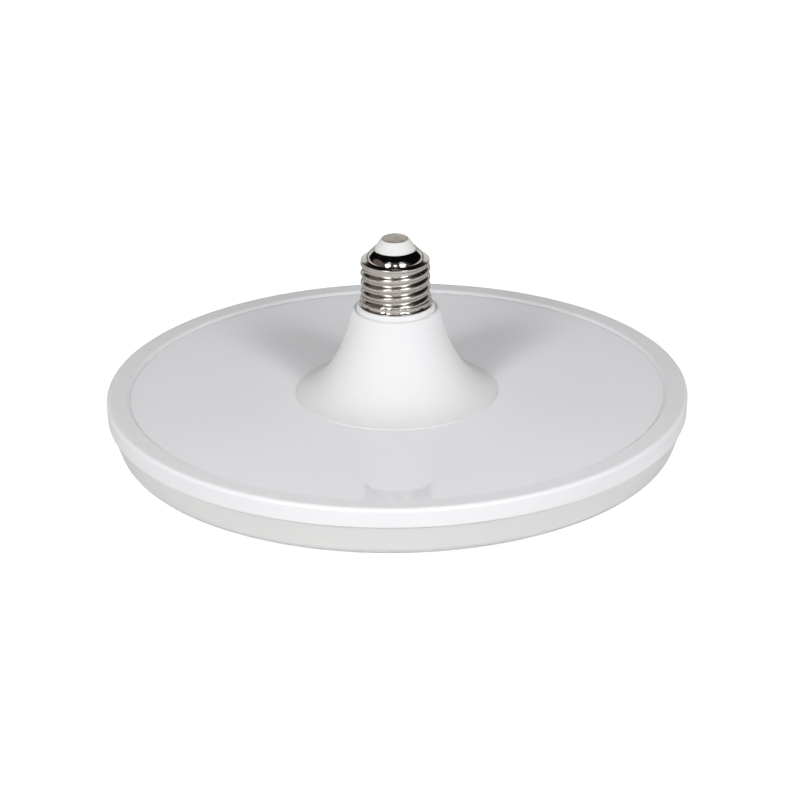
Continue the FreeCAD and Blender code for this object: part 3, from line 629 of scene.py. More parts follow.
def flare_arcs():
    """Centres and radii of the upper and the lower arc of the flare."""
    reach = FOOT_RADIUS - THROAT_RADIUS
    height = NECK_HEIGHT - FOOT_EDGE
    upper_out = math.cos(TOP_LEAN) - math.cos(MIDDLE_LEAN)
    lower_out = math.cos(MIDDLE_LEAN) - math.cos(FOOT_LEAN)
    upper_down = math.sin(MIDDLE_LEAN) - math.sin(TOP_LEAN)
    lower_down = math.sin(FOOT_LEAN) - math.sin(MIDDLE_LEAN)
    share = upper_out * lower_down - lower_out * upper_down
    upper = (reach * lower_down - lower_out * height) / share
    lower = (upper_out * height - upper_down * reach) / share
    throat = PLATE_TOP + NECK_HEIGHT
    upper_centre = (THROAT_RADIUS + upper * math.cos(TOP_LEAN),
                    throat + upper * math.sin(TOP_LEAN))
    waist = (upper_centre[0] - upper * math.cos(MIDDLE_LEAN),
             upper_centre[1] - upper * math.sin(MIDDLE_LEAN))
    lower_centre = (waist[0] + lower * math.cos(MIDDLE_LEAN),
                    waist[1] + lower * math.sin(MIDDLE_LEAN))
    return upper_centre, upper, lower_centre, lower


def joined(name, meshes):
    """One mesh of several closed ones."""
    whole = bmesh.new()
    for mesh in meshes:
        whole.from_mesh(mesh)
    mesh = bpy.data.meshes.new(name)
    whole.to_mesh(mesh)
    whole.free()
    return mesh


def moved(mesh, x, y):
    mesh.transform(Matrix.Translation((x, y, 0)))
    return mesh


def make_boss(angle):
    """Post with a blind hole, taller than the wall above it."""
    outline = [
        Vector((BOSS_HOLE, PLATE_TOP)),
        Vector((BOSS_RADIUS, PLATE_TOP)),
        Vector((BOSS_RADIUS, PLATE_TOP + NECK_HEIGHT)),
        Vector((0, PLATE_TOP + NECK_HEIGHT)),
        Vector((0, BOSS_HOLE_TOP)),
        Vector((BOSS_HOLE, BOSS_HOLE_TOP)),
    ]
    post = turned_mesh("boss", outline, BOSS_STEPS)
    return moved(post, BOSS_CIRCLE * math.cos(angle), BOSS_CIRCLE * math.sin(angle))


def make_rail(side):
    """Web with a slot for the driver board's edge, wider than the neck."""
    board_low, board_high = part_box("driver_board")
    centre = (board_low.y + board_high.y) / 2
    near = board_high.x - RAIL_OVERLAP
    slot = board_high.x + RAIL_GAP
    front = centre - RAIL_THICKNESS / 2
    back = centre + RAIL_THICKNESS / 2
    section = [(near, front), (FOOT_RADIUS, front), (FOOT_RADIUS, back), (near, back),
               (near, board_high.y + RAIL_GAP), (slot, board_high.y + RAIL_GAP),
               (slot, board_low.y - RAIL_GAP), (near, board_low.y - RAIL_GAP)]
    levels = (PLATE_TOP + RAIL_RISE, board_high.z + RAIL_GAP)
    return stacked_mesh("rail", [[(side * x, y, z) for x, y in section] for z in levels])


def boolean(piece, operation, other):
    """Join the piece with another shape, or keep what they share, and drop the other."""
    modifier = piece.modifiers.new(operation.lower(), "BOOLEAN")
    modifier.operation = operation
    modifier.object = other
    settle(piece)
    bpy.data.objects.remove(other)


def neck_inside(core_line):
    """Bosses and rails, cut off inside the neck's wall."""
    step = 360 * DEG / BOSS_COUNT
    parts = [make_boss(FIRST_BOSS + turn * step) for turn in range(BOSS_COUNT)]
    parts += [make_rail(side) for side in (-1, 1)]
    inside = add_piece("neck_inside", joined("neck_inside", parts), NECK_WHITE)
    core = add_piece("neck_core", turned_mesh("neck_core", core_line), NECK_WHITE)
    boolean(inside, "INTERSECT", core)
    return inside


def make_neck():
    """White flared moulding between the plate and the cap."""
    upper_centre, upper, lower_centre, lower = flare_arcs()
    half_turn = math.pi
    neck_top = PLATE_TOP + NECK_HEIGHT + NECK_ROUND
    collar_top = neck_top + COLLAR_RISE
    ceiling = neck_top - CEILING_DROP
    inner = lower + NECK_WALL
    inner_foot_angle = half_turn + math.asin((lower_centre[1] - PLATE_TOP) / inner)
    outside = arc(lower_centre, lower, half_turn + FOOT_LEAN, half_turn + MIDDLE_LEAN, FLARE_STEPS)
    outside += arc(upper_centre, upper, half_turn + MIDDLE_LEAN, half_turn + TOP_LEAN,
                   FLARE_STEPS)[1:]
    inside = arc(upper_centre, upper + NECK_WALL, half_turn + TOP_LEAN,
                 half_turn + MIDDLE_LEAN, FLARE_STEPS)
    inside += arc(lower_centre, inner, half_turn + MIDDLE_LEAN, inner_foot_angle, FLARE_STEPS)[1:]
    top = rounded([
        outside[-1],
        (THROAT_RADIUS, neck_top, NECK_ROUND),
        (GROOVE_RADIUS, neck_top, EDGE_ROUND / 2),
        (GROOVE_RADIUS, neck_top - GROOVE_DEPTH),
        (GROOVE_RADIUS - GROOVE_WIDTH, neck_top - GROOVE_DEPTH),
        (GROOVE_RADIUS - GROOVE_WIDTH, neck_top, EDGE_ROUND / 2),
        (COLLAR_RADIUS, collar_top, EDGE_ROUND),
        (SPIGOT_RADIUS, collar_top),
        (SPIGOT_RADIUS, SPIGOT_TOP, EDGE_ROUND),
        (SPIGOT_BORE, SPIGOT_TOP, EDGE_ROUND),
        (SPIGOT_BORE, ceiling),
        (inside[0].x, ceiling),
        inside[0],
    ])
    foot = [
        Vector((FOOT_RADIUS - FOOT_BEVEL, PLATE_TOP)),
        Vector((FOOT_RADIUS, PLATE_TOP + FOOT_BEVEL)),
        Vector((FOOT_RADIUS, PLATE_TOP + FOOT_EDGE / 2)),
    ]
    outline = foot + outside + top[1:-1] + inside
    bite = NECK_WALL - CORE_BITE
    core = arc(lower_centre, lower + bite, inner_foot_angle, half_turn + MIDDLE_LEAN, CORE_STEPS)
    core += arc(upper_centre, upper + bite, half_turn + MIDDLE_LEAN, half_turn + TOP_LEAN,
                CORE_STEPS)[1:]
    core_ends = [Vector((0, PLATE_TOP)), Vector((core[0].x, PLATE_TOP))]
    core_top = [Vector((core[-1].x, ceiling + CORE_BITE)), Vector((0, ceiling + CORE_BITE))]
    inside_form = neck_inside(core_ends + core[1:] + core_top)
    piece = add_piece("neck_flare", turned_mesh("neck_flare", outline), NECK_WHITE)
    boolean(piece, "UNION", inside_form)
    smooth(piece)
    fit(piece, "neck_white", "neck_cover")


# The screw cap: rolled sheet, insulator and centre contact

SHEET = 0.35 * MM
SKIRT_GAP = 0.35 * MM
SKIRT_LEVEL = PLATE_TOP + NECK_HEIGHT + NECK_ROUND + COLLAR_RISE + SKIRT_GAP
WAIST_RADIUS = 13.25 * MM
ROOT_RADIUS = 12.15 * MM
ROOT_RISE = 2.6 * MM
NOSE_RADIUS = 10.89 * MM
NOSE_ROUND = 5.0 * MM
NOSE_FOOT_LEAN = 15.0 * DEG
NOSE_LEAN = 43.1 * DEG
NOSE_STEP = 0.5 * MM
BAND_RADIUS = 12.9 * MM
BAND_HEIGHT = 0.9 * MM
BAND_SLOPE = 0.5 * MM
BAND_ROUND = 0.35 * MM
MOUTH_RADIUS = 8.2 * MM
SHELL_SPACING = 0.2 * MM
SKIRT_CURL = 60 * DEG
SKIRT_SLOPE = 0.15 * MM
SHEET_ROUND = 0.3 * MM
ROOT_ROUND = 1.5 * MM
CURL_STEPS = 8
NOSE_STEPS = 12


def nose_level():
    """Level of the nose's foot, worked out from the mouth downwards."""
    shoulder = NOSE_RADIUS - NOSE_ROUND * (math.cos(NOSE_FOOT_LEAN) - math.cos(NOSE_LEAN))
    cone = (shoulder - MOUTH_RADIUS) / math.tan(NOSE_LEAN)
    return MOUTH_LEVEL - cone - NOSE_ROUND * (math.sin(NOSE_LEAN) - math.sin(NOSE_FOOT_LEAN))


THREAD_SIZES = {
    "Root radius": ROOT_RADIUS,
    "Depth": 1.0 * MM,
    "Pitch": 3.629 * MM,
    "Start level": SKIRT_LEVEL + 1.35 * MM,
    "Turns": 4.2,
    "Run-in turns": 0.16,
    "Run-out turns": 0.3,
    "Fade level": nose_level() - 0.7 * MM,
    "Top level": nose_level() - 0.3 * MM,
    "Ridge fullness": 0.8,
    "Blend": 0.25 * MM,
    "Crimp count": 11,
    "First crimp": -76.5 * DEG,
    "Crimp level": SKIRT_LEVEL + 1.55 * MM,
    "Crimp size": 0.95 * MM,
    "Crimp depth": 0.34 * MM,
}


def rolled_thread():
    """Tree that rolls the thread into a plain turned sheet and punches the skirt's crimps.
    Both skins move alike, by what the outer one needs, so the sheet keeps its thickness."""
    tree = Tree("rolled thread", THREAD_SIZES)
    calc = tree.calc
    size = tree.size

    def eased(value, start, end):
        return ranged(tree.group, value, start, end, interpolation_type="SMOOTHSTEP")

    place = tree.node("GeometryNodeInputPosition").outputs[0]
    axes = tree.node("ShaderNodeSeparateXYZ", {0: place}).outputs
    angle = calc("ARCTAN2", axes["Y"], axes["X"])
    outer = tree.node("GeometryNodeInputNamedAttribute", {"Name": "outer radius"},
                      data_type="FLOAT").outputs["Attribute"]
    # The ridge starts on the -X side and rises one pitch a turn
    turned_by = calc("ADD", calc("DIVIDE", angle, 2 * math.pi), 0.5)
    rise = calc("DIVIDE", calc("SUBTRACT", axes["Z"], size("Start level")), size("Pitch"))
    phase = calc("SUBTRACT", rise, turned_by)
    along = calc("ADD", turned_by, calc("ROUND", phase))
    # The wave is kept a touch above nought, as its power is taken next
    wave = calc("COSINE", calc("MULTIPLY", phase, 2 * math.pi))
    wave = calc("POWER", calc("MULTIPLY_ADD", wave, 0.4999, 0.5), size("Ridge fullness"))
    run_in = eased(along, calc("MULTIPLY", size("Run-in turns"), -1.0), size("Run-in turns"))
    left = calc("SUBTRACT", size("Turns"), along)
    run_out = eased(left, calc("MULTIPLY", size("Run-out turns"), -1.0), size("Run-out turns"))
    ridge = calc("MULTIPLY", calc("MULTIPLY", wave, calc("MULTIPLY", run_in, run_out)),
                 size("Depth"))
    root = calc("MINIMUM", outer, size("Root radius"))
    crest = calc("SMOOTH_MAX", calc("ADD", root, ridge), outer, size("Blend"))
    raised = calc("SUBTRACT", crest, calc("SMOOTH_MAX", root, outer, size("Blend")))
    on_nose = eased(axes["Z"], size("Fade level"), size("Top level"))
    raised = calc("MULTIPLY", raised, calc("SUBTRACT", 1.0, on_nose))
    # A crimp is a small round dent, repeated evenly round the skirt
    step = calc("DIVIDE", 2 * math.pi, size("Crimp count"))
    beside = calc("DIVIDE", calc("SUBTRACT", angle, size("First crimp")), step)
    beside = calc("MULTIPLY", calc("SUBTRACT", beside, calc("ROUND", beside)), step)
    across = calc("DIVIDE", calc("MULTIPLY", beside, outer), size("Crimp size"))
    above = calc("DIVIDE", calc("SUBTRACT", axes["Z"], size("Crimp level")), size("Crimp size"))
    away = calc("ADD", calc("POWER", across, 2.0), calc("POWER", above, 2.0))
    dent = calc("MULTIPLY", calc("EXPONENT", calc("MULTIPLY", away, -1.0)), size("Crimp depth"))
    shift = calc("SUBTRACT", raised, dent)
    outwards = tree.node("ShaderNodeCombineXYZ", {
        "X": calc("MULTIPLY", shift, calc("COSINE", angle)),
        "Y": calc("MULTIPLY", shift, calc("SINE", angle))}).outputs[0]
    shaped = tree.node("GeometryNodeSetPosition", {
        "Geometry": size("Geometry"), "Offset": outwards}).outputs[0]
    tree.finish(shaped)
    return tree


def make_shell():
    """Nickelled screw shell, rolled from sheet: skirt, thread and rounded nose."""
    nose = nose_level()
    band_top = nose - NOSE_STEP
    band_low = band_top - BAND_HEIGHT
    nose_centre = (NOSE_RADIUS - NOSE_ROUND * math.cos(NOSE_FOOT_LEAN),
                   nose - NOSE_ROUND * math.sin(NOSE_FOOT_LEAN))
    curl = (SKIRT_RADIUS - WAIST_RADIUS) / (1 - math.cos(SKIRT_CURL))
    waist_level = SKIRT_LEVEL + curl * math.sin(SKIRT_CURL)
    flare = arc((WAIST_RADIUS + curl, waist_level), curl, math.pi + SKIRT_CURL, math.pi,
                CURL_STEPS)
    skin_line = flare + rounded([
        (WAIST_RADIUS, waist_level + SKIRT_SLOPE, SHEET_ROUND),
        (ROOT_RADIUS, SKIRT_LEVEL + ROOT_RISE, ROOT_ROUND),
        (ROOT_RADIUS, band_low - BAND_SLOPE, SHEET_ROUND),
        (BAND_RADIUS, band_low, BAND_ROUND),
        (BAND_RADIUS, band_top, BAND_ROUND),
        (NOSE_RADIUS, nose),
    ])
    skin_line += arc(nose_centre, NOSE_ROUND, NOSE_FOOT_LEAN, NOSE_LEAN, NOSE_STEPS)[1:]
    skin_line.append(Vector((MOUTH_RADIUS, MOUTH_LEVEL)))
    skin_line = split(skin_line, SHELL_SPACING)
    outline = sheet_outline(skin_line, SHEET)
    mesh = turned_mesh("screw_shell", outline)
    outer = mesh.attributes.new("outer radius", "FLOAT", "POINT")
    radii = [point.x for point in skin_line + skin_line[::-1]]
    for vertex in range(len(mesh.vertices)):
        outer.data[vertex].value = radii[vertex // TURN_STEPS]
    piece = add_piece("screw_shell", mesh, NICKEL)
    rolled_thread().run(piece)
    smooth(piece)
    fit(piece, "cap_nickel", "cap_shell")


INSULATOR_TOP = 5.25 * MM
INSULATOR_STEM = 7.844 * MM
FLANGE_HEIGHT = 2.2 * MM
CONE_ROUND = 0.5 * MM
PIN_RADIUS = 1.6 * MM
PIN_GAP = 0.05 * MM


def make_insulator():
    """White cone through the shell's mouth."""
    shoulder = FLANGE_LOW + FLANGE_HEIGHT
    outline = rounded([
        (PIN_RADIUS + PIN_GAP, FLANGE_LOW),
        (FLANGE_RADIUS, FLANGE_LOW, EDGE_ROUND),
        (FLANGE_RADIUS, shoulder, EDGE_ROUND),
        (INSULATOR_STEM, MOUTH_LEVEL - SHEET),
        (INSULATOR_STEM, MOUTH_LEVEL, EDGE_ROUND),
        (INSULATOR_TOP, CONTACT_LEVEL, CONE_ROUND),
        (PIN_RADIUS + PIN_GAP, CONTACT_LEVEL),
    ])
    turned_piece("insulator_cone", outline, CAP_WHITE, "cap_white", "cap_insulator")


CONTACT_EDGE = 0.3 * MM
DOME_RADIUS = CONTACT_RADIUS * 0.75
DOME_DROP = 0.08 * MM
DOME_ROUND = 6 * MM
RAGGED_EDGE = 0.12 * MM
RAGGED_FROM = CONTACT_RADIUS * 0.9


def make_contact():
    """Domed rivet head, its edge a little ragged where the solder has run out."""
    outline = rounded([
        (0, PIN_LOW),
        (PIN_RADIUS, PIN_LOW, EDGE_ROUND),
        (PIN_RADIUS, CONTACT_LEVEL),
        (CONTACT_RADIUS, CONTACT_LEVEL),
        (CONTACT_RADIUS, CONTACT_LEVEL + CONTACT_EDGE, EDGE_ROUND * 1.5),
        (DOME_RADIUS, CONTACT_TOP - DOME_DROP, DOME_ROUND),
        (0, CONTACT_TOP),
    ])
    mesh = turned_mesh("contact_rivet", outline)
    for vertex in mesh.vertices:
        radius = math.hypot(vertex.co.x, vertex.co.y)
        if radius < RAGGED_FROM or vertex.co.z < CONTACT_LEVEL - POLE:
            continue
        angle = math.atan2(vertex.co.y, vertex.co.x)
        # Two waves round the edge that never push it outwards
        run = 0.5 * math.sin(5 * angle + 1.0) + 0.3 * math.sin(11 * angle) - 0.8
        scale = 1 + RAGGED_EDGE * run / radius
        vertex.co.x *= scale
        vertex.co.y *= scale
    piece = add_piece("contact_rivet", mesh, TINNED)
    smooth(piece)
    fit(piece, "contact_tin", "centre_contact")


make_rim()
make_dish()
make_neck()
make_shell()
make_insulator()
make_contact()
dress("back_plate", PLATE_PAINT)

# What lies inside

COPPER_HEIGHT = 0.035 * MM
SLEEVE_EDGE = 0.8 * MM
STRIPE_REACH = 1.5 * MM
RESISTOR_END = 0.45 * MM
RESISTOR_WIRE = 0.55 * MM
BLUR = 0.04 * MM

# Colour, metallic and roughness of what shows beside a skin
ALUMINIUM = ((0.72, 0.72, 0.73), 1.0, 0.32)
TIN = ((0.70, 0.69, 0.67), 1.0, 0.35)
STRIPE = ((0.5, 0.51, 0.53), 0.0, 0.35)


def printed(name, colour, gap_colour, scale):
    """Printed board: solder mask with the outlines of its copper showing through."""
    material = new_material(name)
    group = add_node(material.node_tree, "ShaderNodeGroup", {
        "Colour": (*colour, 1), "Gap colour": (*gap_colour, 1), "Scale": scale,
    }, node_tree=BOARD_PRINT).outputs
    surface(material, group["Colour"], group["Roughness"], group["Height"], COPPER_HEIGHT)
    return material


def middle(node):
    return (low(node) + high(node)) / 2


def inlay_near(material, centre, axes, reach, finish, blur=BLUR):
    """Another finish nearer than the reach, or beyond it where the blur is negative."""
    mask = distance_mask(material, centre, axes, reach - blur, reach + blur)
    inlay(material, mask, *finish)


def make_can_sleeve(node):
    """Dark shrink sleeve with a paler stripe along it, open over the aluminium can's ends."""
    material = skin(f"can sleeve of {node}", (0.05, 0.06, 0.09), (0.04, 0.05, 0.075), 0.22,
                    0.34, grain_scale=500.0, grain_depth=0.01, cloud_scale=120.0)
    centre = middle(node)
    radius = (high(node).x - low(node).x) / 2
    stripe = centre - Vector((0, radius, 0))
    inlay_near(material, stripe, (1, 1, 0), STRIPE_REACH, STRIPE)
    inlay_near(material, centre, (1, 1, 0), radius - SLEEVE_EDGE, ALUMINIUM)
    return material


def make_chip_resistor():
    """Dark glazed chip with tinned ends."""
    material = skin("chip resistor", (0.06, 0.065, 0.07), (0.045, 0.05, 0.055), 0.2, 0.3,
                    cloud_scale=300.0)
    half = (high("smd_resistors").x - low("smd_resistors").x) / 2 - RESISTOR_END
    inlay_near(material, middle("smd_resistors"), (1, 0, 0), half, TIN, -BLUR)
    return material


def make_safety_resistor():
    """Lacquered ceramic body on tinned wires."""
    material = skin("safety resistor", (0.22, 0.32, 0.30), (0.19, 0.28, 0.27), 0.3, 0.42,
                    grain_depth=0.02, cloud_scale=200.0)
    inlay_near(material, middle("fuse_resistor"), (1, 1, 0), RESISTOR_WIRE, TIN)
    return material


def make_insides():
    """Finishes of the solids inside, each under its node's name."""
    epoxy = skin("black epoxy", (0.030, 0.030, 0.032), (0.022, 0.022, 0.024), 0.45, 0.6,
                 grain_scale=2500.0, grain_depth=0.02, cloud_scale=150.0)
    tinned_wire = skin("tinned wire", (0.70, 0.69, 0.67), (0.64, 0.62, 0.59), 0.25, 0.42,
                       cloud_scale=250.0, Metallic=1.0)
    finishes = {
        "thermal_pad": skin("grey silicone sheet", (0.60, 0.62, 0.64), (0.55, 0.57, 0.59),
                            0.6, 0.75, grain_depth=0.03),
        "led_board": printed("white solder mask", (0.86, 0.86, 0.84), (0.79, 0.79, 0.77), 90.0),
        "led_chips": skin("white package", (0.85, 0.85, 0.82), (0.80, 0.80, 0.77), 0.35, 0.5,
                          cloud_scale=200.0),
        "led_connector": skin("ivory plastic", (0.85, 0.84, 0.80), (0.80, 0.79, 0.74), 0.4,
                              0.55, cloud_scale=100.0),
        "neck_screws": skin("zinc plate", (0.62, 0.62, 0.60), (0.55, 0.56, 0.57), 0.28, 0.45,
                            cloud_scale=220.0, Metallic=1.0),
        "driver_board": printed("green laminate", (0.30, 0.45, 0.20), (0.22, 0.34, 0.14), 260.0),
        "bulk_capacitor": make_can_sleeve("bulk_capacitor"),
        "output_capacitor": make_can_sleeve("output_capacitor"),
        "film_capacitor": skin("red dipped resin", (0.60, 0.10, 0.06), (0.52, 0.08, 0.05),
                               0.14, 0.24, grain_scale=350.0, grain_depth=0.03),
        "choke_core": skin("ferrite core", (0.06, 0.06, 0.06), (0.045, 0.045, 0.048), 0.5, 0.7,
                           grain_scale=2000.0, grain_depth=0.04, cloud_scale=180.0),
        "bridge_rectifier": epoxy,
        "driver_ic": epoxy,
        "output_diode": epoxy,
        "smd_resistors": make_chip_resistor(),
        "fuse_resistor": make_safety_resistor(),
        "live_lead": skin("brown insulation", (0.25, 0.12, 0.06), (0.21, 0.10, 0.05), 0.35, 0.5),
        "neutral_lead": tinned_wire,
        "led_lead_positive": skin("red insulation", (0.55, 0.04, 0.03), (0.48, 0.035, 0.03),
                                  0.35, 0.5),
        "led_lead_negative": skin("black insulation", (0.03, 0.03, 0.03),
                                  (0.022, 0.022, 0.024), 0.35, 0.5),
    }
    for node, material in finishes.items():
        dress(node, material)


WINDOW_LENGTH = 2.1 * MM
WINDOW_WIDTH = 2.7 * MM
WINDOW_ROUND = 0.5 * MM
WINDOW_RISE = 0.12 * MM
WINDOW_BITE = 0.05 * MM
WINDOW_EDGE = 0.06 * MM
WINDOW_STEPS = 4
LED_RINGS = {
    "Inner radius": 36.0 * MM,
    "Middle radius": 54.0 * MM,
    "Outer radius": 72.0 * MM,
    "Inner count": 16,
    "Middle count": 24,
    "Outer count": 32,
}


def window_ring(inset, level):
    """Corner points of a rounded oblong, smaller all round by the inset."""
    points = []
    for turn, (x, y) in enumerate(((1, 1), (-1, 1), (-1, -1), (1, -1))):
        for step in range(WINDOW_STEPS + 1):
            angle = (turn + step / WINDOW_STEPS) * math.pi / 2
            reach = WINDOW_ROUND - inset
            points.append((x * (WINDOW_LENGTH / 2 - WINDOW_ROUND) + reach * math.cos(angle),
                           y * (WINDOW_WIDTH / 2 - WINDOW_ROUND) + reach * math.sin(angle),
                           level))
    return points


def make_led_windows():
    """Yellow phosphor windows under the LEDs: one oblong, set on three rings."""
    face = low("led_chips").z
    window = stacked_mesh("led_window", [
        window_ring(WINDOW_EDGE, face - WINDOW_RISE),
        window_ring(0, face - WINDOW_EDGE),
        window_ring(0, face + WINDOW_BITE),
    ])
    piece = add_piece("led_windows", window, PHOSPHOR)
    tree = Tree("led windows", LED_RINGS)
    join = tree.node("GeometryNodeJoinGeometry")
    for name in ("Inner", "Middle", "Outer"):
        circle = tree.node("GeometryNodeMeshCircle", {
            "Vertices": tree.size(f"{name} count"), "Radius": tree.size(f"{name} radius")})
        place = tree.node("ShaderNodeSeparateXYZ", {
            0: tree.node("GeometryNodeInputPosition").outputs[0]})
        angle = tree.calc("ARCTAN2", place.outputs["Y"], place.outputs["X"])
        turn = tree.node("FunctionNodeEulerToRotation", {
            0: tree.node("ShaderNodeCombineXYZ", {"Z": angle}).outputs[0]})
        copies = tree.node("GeometryNodeInstanceOnPoints", {
            "Points": circle.outputs[0], "Instance": tree.size("Geometry"),
            "Rotation": turn.outputs[0]})
        tree.group.links.new(copies.outputs[0], join.inputs[0])
    tree.finish(join.outputs[0])
    tree.run(piece)
    fit(piece, "led_package")


WINDING_SIZES = {
    "Turns": 13.0,
    "Wire radius": 0.18 * MM,
    "Mean radius": 3.72 * MM,
    "Length": 4.5 * MM,
}
WINDING_BODY = 3.7 * MM
WINDING_BORE = 2.3 * MM
WINDING_ROUND = 0.2 * MM
WINDING_STEPS = 64
TURN_PIECES = 48
WIRE_SIDES = 8


def make_winding():
    """Choke winding: copper wire laid turn by turn round the body of the coil."""
    centre = middle("choke_winding")
    half = (high("choke_winding").y - low("choke_winding").y) / 2
    body = turned_mesh("winding_turns", rounded([
        (WINDING_BORE, -half),
        (WINDING_BODY, -half, WINDING_ROUND),
        (WINDING_BODY, half, WINDING_ROUND),
        (WINDING_BORE, half),
    ]), WINDING_STEPS)
    piece = add_piece("winding_turns", body, COPPER)
    tree = Tree("winding turns", WINDING_SIZES)
    spiral = tree.node("GeometryNodeCurveSpiral", {
        "Resolution": TURN_PIECES, "Rotations": tree.size("Turns"), "Height": tree.size("Length"),
        "Start Radius": tree.size("Mean radius"), "End Radius": tree.size("Mean radius")})
    wire = tree.node("GeometryNodeCurvePrimitiveCircle", {
        "Resolution": WIRE_SIDES, "Radius": tree.size("Wire radius")})
    turns = tree.node("GeometryNodeCurveToMesh", {
        "Curve": spiral.outputs[0], "Profile Curve": wire.outputs[0], "Fill Caps": True})
    lift = tree.calc("MULTIPLY", tree.size("Length"), -0.5)
    down = tree.node("ShaderNodeCombineXYZ", {"Z": lift})
    laid = tree.node("GeometryNodeTransform", {
        "Geometry": turns.outputs[0], "Translation": down.outputs[0]})
    join = tree.node("GeometryNodeJoinGeometry")
    tree.group.links.new(laid.outputs[0], join.inputs[0])
    tree.group.links.new(tree.size("Geometry"), join.inputs[0])
    upright = tree.node("GeometryNodeTransform", {
        "Geometry": join.outputs[0], "Rotation": (90 * DEG, 0, 0), "Translation": centre})
    tree.finish(upright.outputs[0])
    tree.run(piece)
    smooth(piece)
    fit(piece, "copper", "choke_winding")


PHOSPHOR = skin("yellow phosphor", (0.90, 0.78, 0.22), (0.86, 0.72, 0.18), 0.35, 0.5,
                grain_scale=3000.0, grain_depth=0.02, cloud_scale=400.0)
COPPER = skin("enamelled copper", (0.70, 0.33, 0.16), (0.60, 0.26, 0.12), 0.18, 0.3,
              cloud_scale=300.0, Metallic=1.0)
make_insides()
make_led_windows()
make_winding()

# Studio: pale floor, soft surroundings and lamps on the camera's side

CAMERA_BACK = 1.4
CAMERA_RISE = 0.59972 + SEAM
CAMERA_YAW = 0.0005
CAMERA_PITCH = 0.4029
CAMERA_ROLL = -0.0141
PHOTO_SIZE = 798
FOCAL_PIXELS = 4011.48
SENSOR_WIDTH = 36.0
AIM_LEVEL = 0.04
FLOOR_REACH = 6.0
FLOOR_LEVEL = -0.1 * MM
FLOOR_TONES = (0.71, 0.73)
GLOW_RANGE = (0.3, 1.2)
GLOW_NEAR = 0.78
CARD_TINT = (1.0, 0.78, 0.68)

# Brightness of the surroundings. Edges and heights say how far a direction of length one
# reaches backwards or upwards where the brightness changes
FRONT_LIGHT = 0.10
FRONT_EDGE = (-0.55, -0.35)
FRONT_TOP = (0.72, 0.84)
SWEEP_LIGHT = 0.95
SWEEP_EDGE = (0.72, 0.9)
SWEEP_HEIGHT = 0.56
SIDE_HEIGHT = 0.13
HEIGHT_BLUR = 0.04
CEILING_LIGHT = 0.004


def make_camera():
    """Camera at the photograph's angle."""
    camera = bpy.data.objects.new("camera", bpy.data.cameras.new("camera"))
    bpy.context.scene.collection.objects.link(camera)
    camera.data.sensor_width = SENSOR_WIDTH
    camera.data.lens = FOCAL_PIXELS * SENSOR_WIDTH / PHOTO_SIZE
    camera.data.clip_start = 0.01
    camera.location = (0, -CAMERA_BACK, CAMERA_RISE)
    forward = Vector((math.sin(CAMERA_YAW) * math.cos(CAMERA_PITCH),
                      math.cos(CAMERA_YAW) * math.cos(CAMERA_PITCH), -math.sin(CAMERA_PITCH)))
    look = forward.to_track_quat("-Z", "Y").to_matrix().to_4x4()
    turn = Matrix.Rotation(CAMERA_ROLL, 4, "Z")
    camera.rotation_euler = (look @ turn).to_euler()
    bpy.context.scene.camera = camera


def make_floor():
    """Pale floor that keeps the lamp's shadow and shows white, the more so the further away."""
    mesh = bpy.data.meshes.new("floor")
    sides = ((-1, -1), (1, -1), (1, 1), (-1, 1))
    corners = [(FLOOR_REACH * x, FLOOR_REACH * y, FLOOR_LEVEL) for x, y in sides]
    mesh.from_pydata(corners, [], [(0, 1, 2, 3)])
    material = new_material("pale floor", Roughness=0.9, Specular_IOR_Level=0.0,
                            Emission_Color=(1, 1, 1, 1))
    tree = material.node_tree
    inputs = shader_inputs(material)
    place = object_place(tree)
    tones = [(tone, tone, tone) for tone in FLOOR_TONES]
    tree.links.new(colour_ramp(tree, noise(tree, place, 3.0), *tones), inputs["Base Color"])
    seen = add_node(tree, "ShaderNodeLightPath").outputs["Is Camera Ray"]
    away = vector_calc(tree, "LENGTH", place)
    glow = calc(tree, "MULTIPLY", seen, ranged(tree, away, *GLOW_RANGE, GLOW_NEAR, 1.0))
    tree.links.new(glow, inputs["Emission Strength"])
    floor = add_piece("floor", mesh, material)


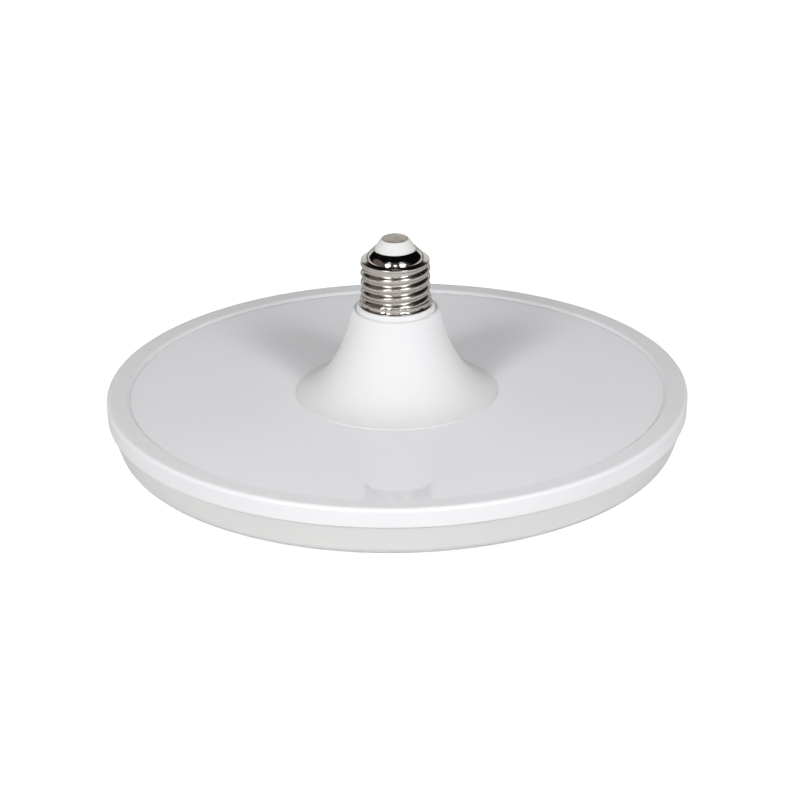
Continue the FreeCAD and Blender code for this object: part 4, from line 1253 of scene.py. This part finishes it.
def make_world():
    """Plain soft surroundings: a pale sweep behind, a low pale band elsewhere, dark above."""
    world = bpy.data.worlds.new("studio")
    world.use_nodes = True
    bpy.context.scene.world = world
    tree = world.node_tree
    tree.nodes.clear()
    direction = add_node(tree, "ShaderNodeTexCoord").outputs["Generated"]
    axes = add_node(tree, "ShaderNodeSeparateXYZ", {0: direction}).outputs
    top = ranged(tree, axes["Y"], *SWEEP_EDGE, SIDE_HEIGHT, SWEEP_HEIGHT)
    above = calc(tree, "SUBTRACT", axes["Z"], top)
    pale = ranged(tree, above, -HEIGHT_BLUR, HEIGHT_BLUR, SWEEP_LIGHT, CEILING_LIGHT)
    front = calc(tree, "MULTIPLY", ranged(tree, axes["Y"], *FRONT_EDGE, FRONT_LIGHT, 0.0),
                 ranged(tree, axes["Z"], *FRONT_TOP, 1.0, 0.0))
    camera = add_node(tree, "ShaderNodeLightPath").outputs["Is Camera Ray"]
    shown = add_node(tree, "ShaderNodeMix", {
        "Factor": camera, "A": calc(tree, "MAXIMUM", pale, front), "B": 1.0},
        data_type="FLOAT").outputs[0]
    light = add_node(tree, "ShaderNodeBackground", {"Strength": shown})
    add_node(tree, "ShaderNodeOutputWorld", {"Surface": light.outputs[0]})


def add_lamp(name, azimuth, elevation, distance, size, power, tint=(1, 1, 1), mirrored=True):
    """Light that looks at the lamp, so many degrees to the right of the camera's side and above
    the floor. Its size is its width and height."""
    light = bpy.data.lights.new(name, "AREA")
    light.color = tint
    light.shape = "ELLIPSE"
    light.size, light.size_y = size
    light.energy = power
    lamp = bpy.data.objects.new(name, light)
    bpy.context.scene.collection.objects.link(lamp)
    aside = azimuth * DEG
    up = elevation * DEG
    away = Vector((math.sin(aside) * math.cos(up), -math.cos(aside) * math.cos(up), math.sin(up)))
    lamp.location = Vector((0, 0, AIM_LEVEL)) + away * distance
    lamp.rotation_euler = (-away).to_track_quat("-Z", "Y").to_euler()
    lamp.visible_glossy = mirrored
    lamp.visible_camera = False


def make_lights():
    """On each side a key, a soft box with its tall spill, and a fill from the side. A small soft
    box in the middle, a brown card on the left, and a fill from above and behind."""
    for name, side, width in (("left", -1, 0.34), ("right", 1, 0.40)):
        add_lamp(f"{name} key", side * 40, 38, 1.0, (0.22, 0.22), 2.5, mirrored=False)
        add_lamp(f"{name} soft box", side * 31, 28, 1.0, (width, 0.28), 2.0)
        add_lamp(f"{name} spill", side * 31, 30, 1.1, (width, 1.1), 0.75)
        add_lamp(f"{name} side fill", side * 105, 9, 1.2, (1.2, 0.7), 3.7, mirrored=False)
    add_lamp("small soft box", 0, 29, 1.0, (0.2, 0.24), 0.35)
    add_lamp("brown card", -80, 29, 1.0, (0.9, 0.62), 0.2, CARD_TINT)
    add_lamp("overhead fill", 180, 65, 1.1, (2.6, 1.2), 0.3, mirrored=False)


make_camera()
make_floor()
make_world()
make_lights()
bpy.context.scene.view_settings.view_transform = "Standard"
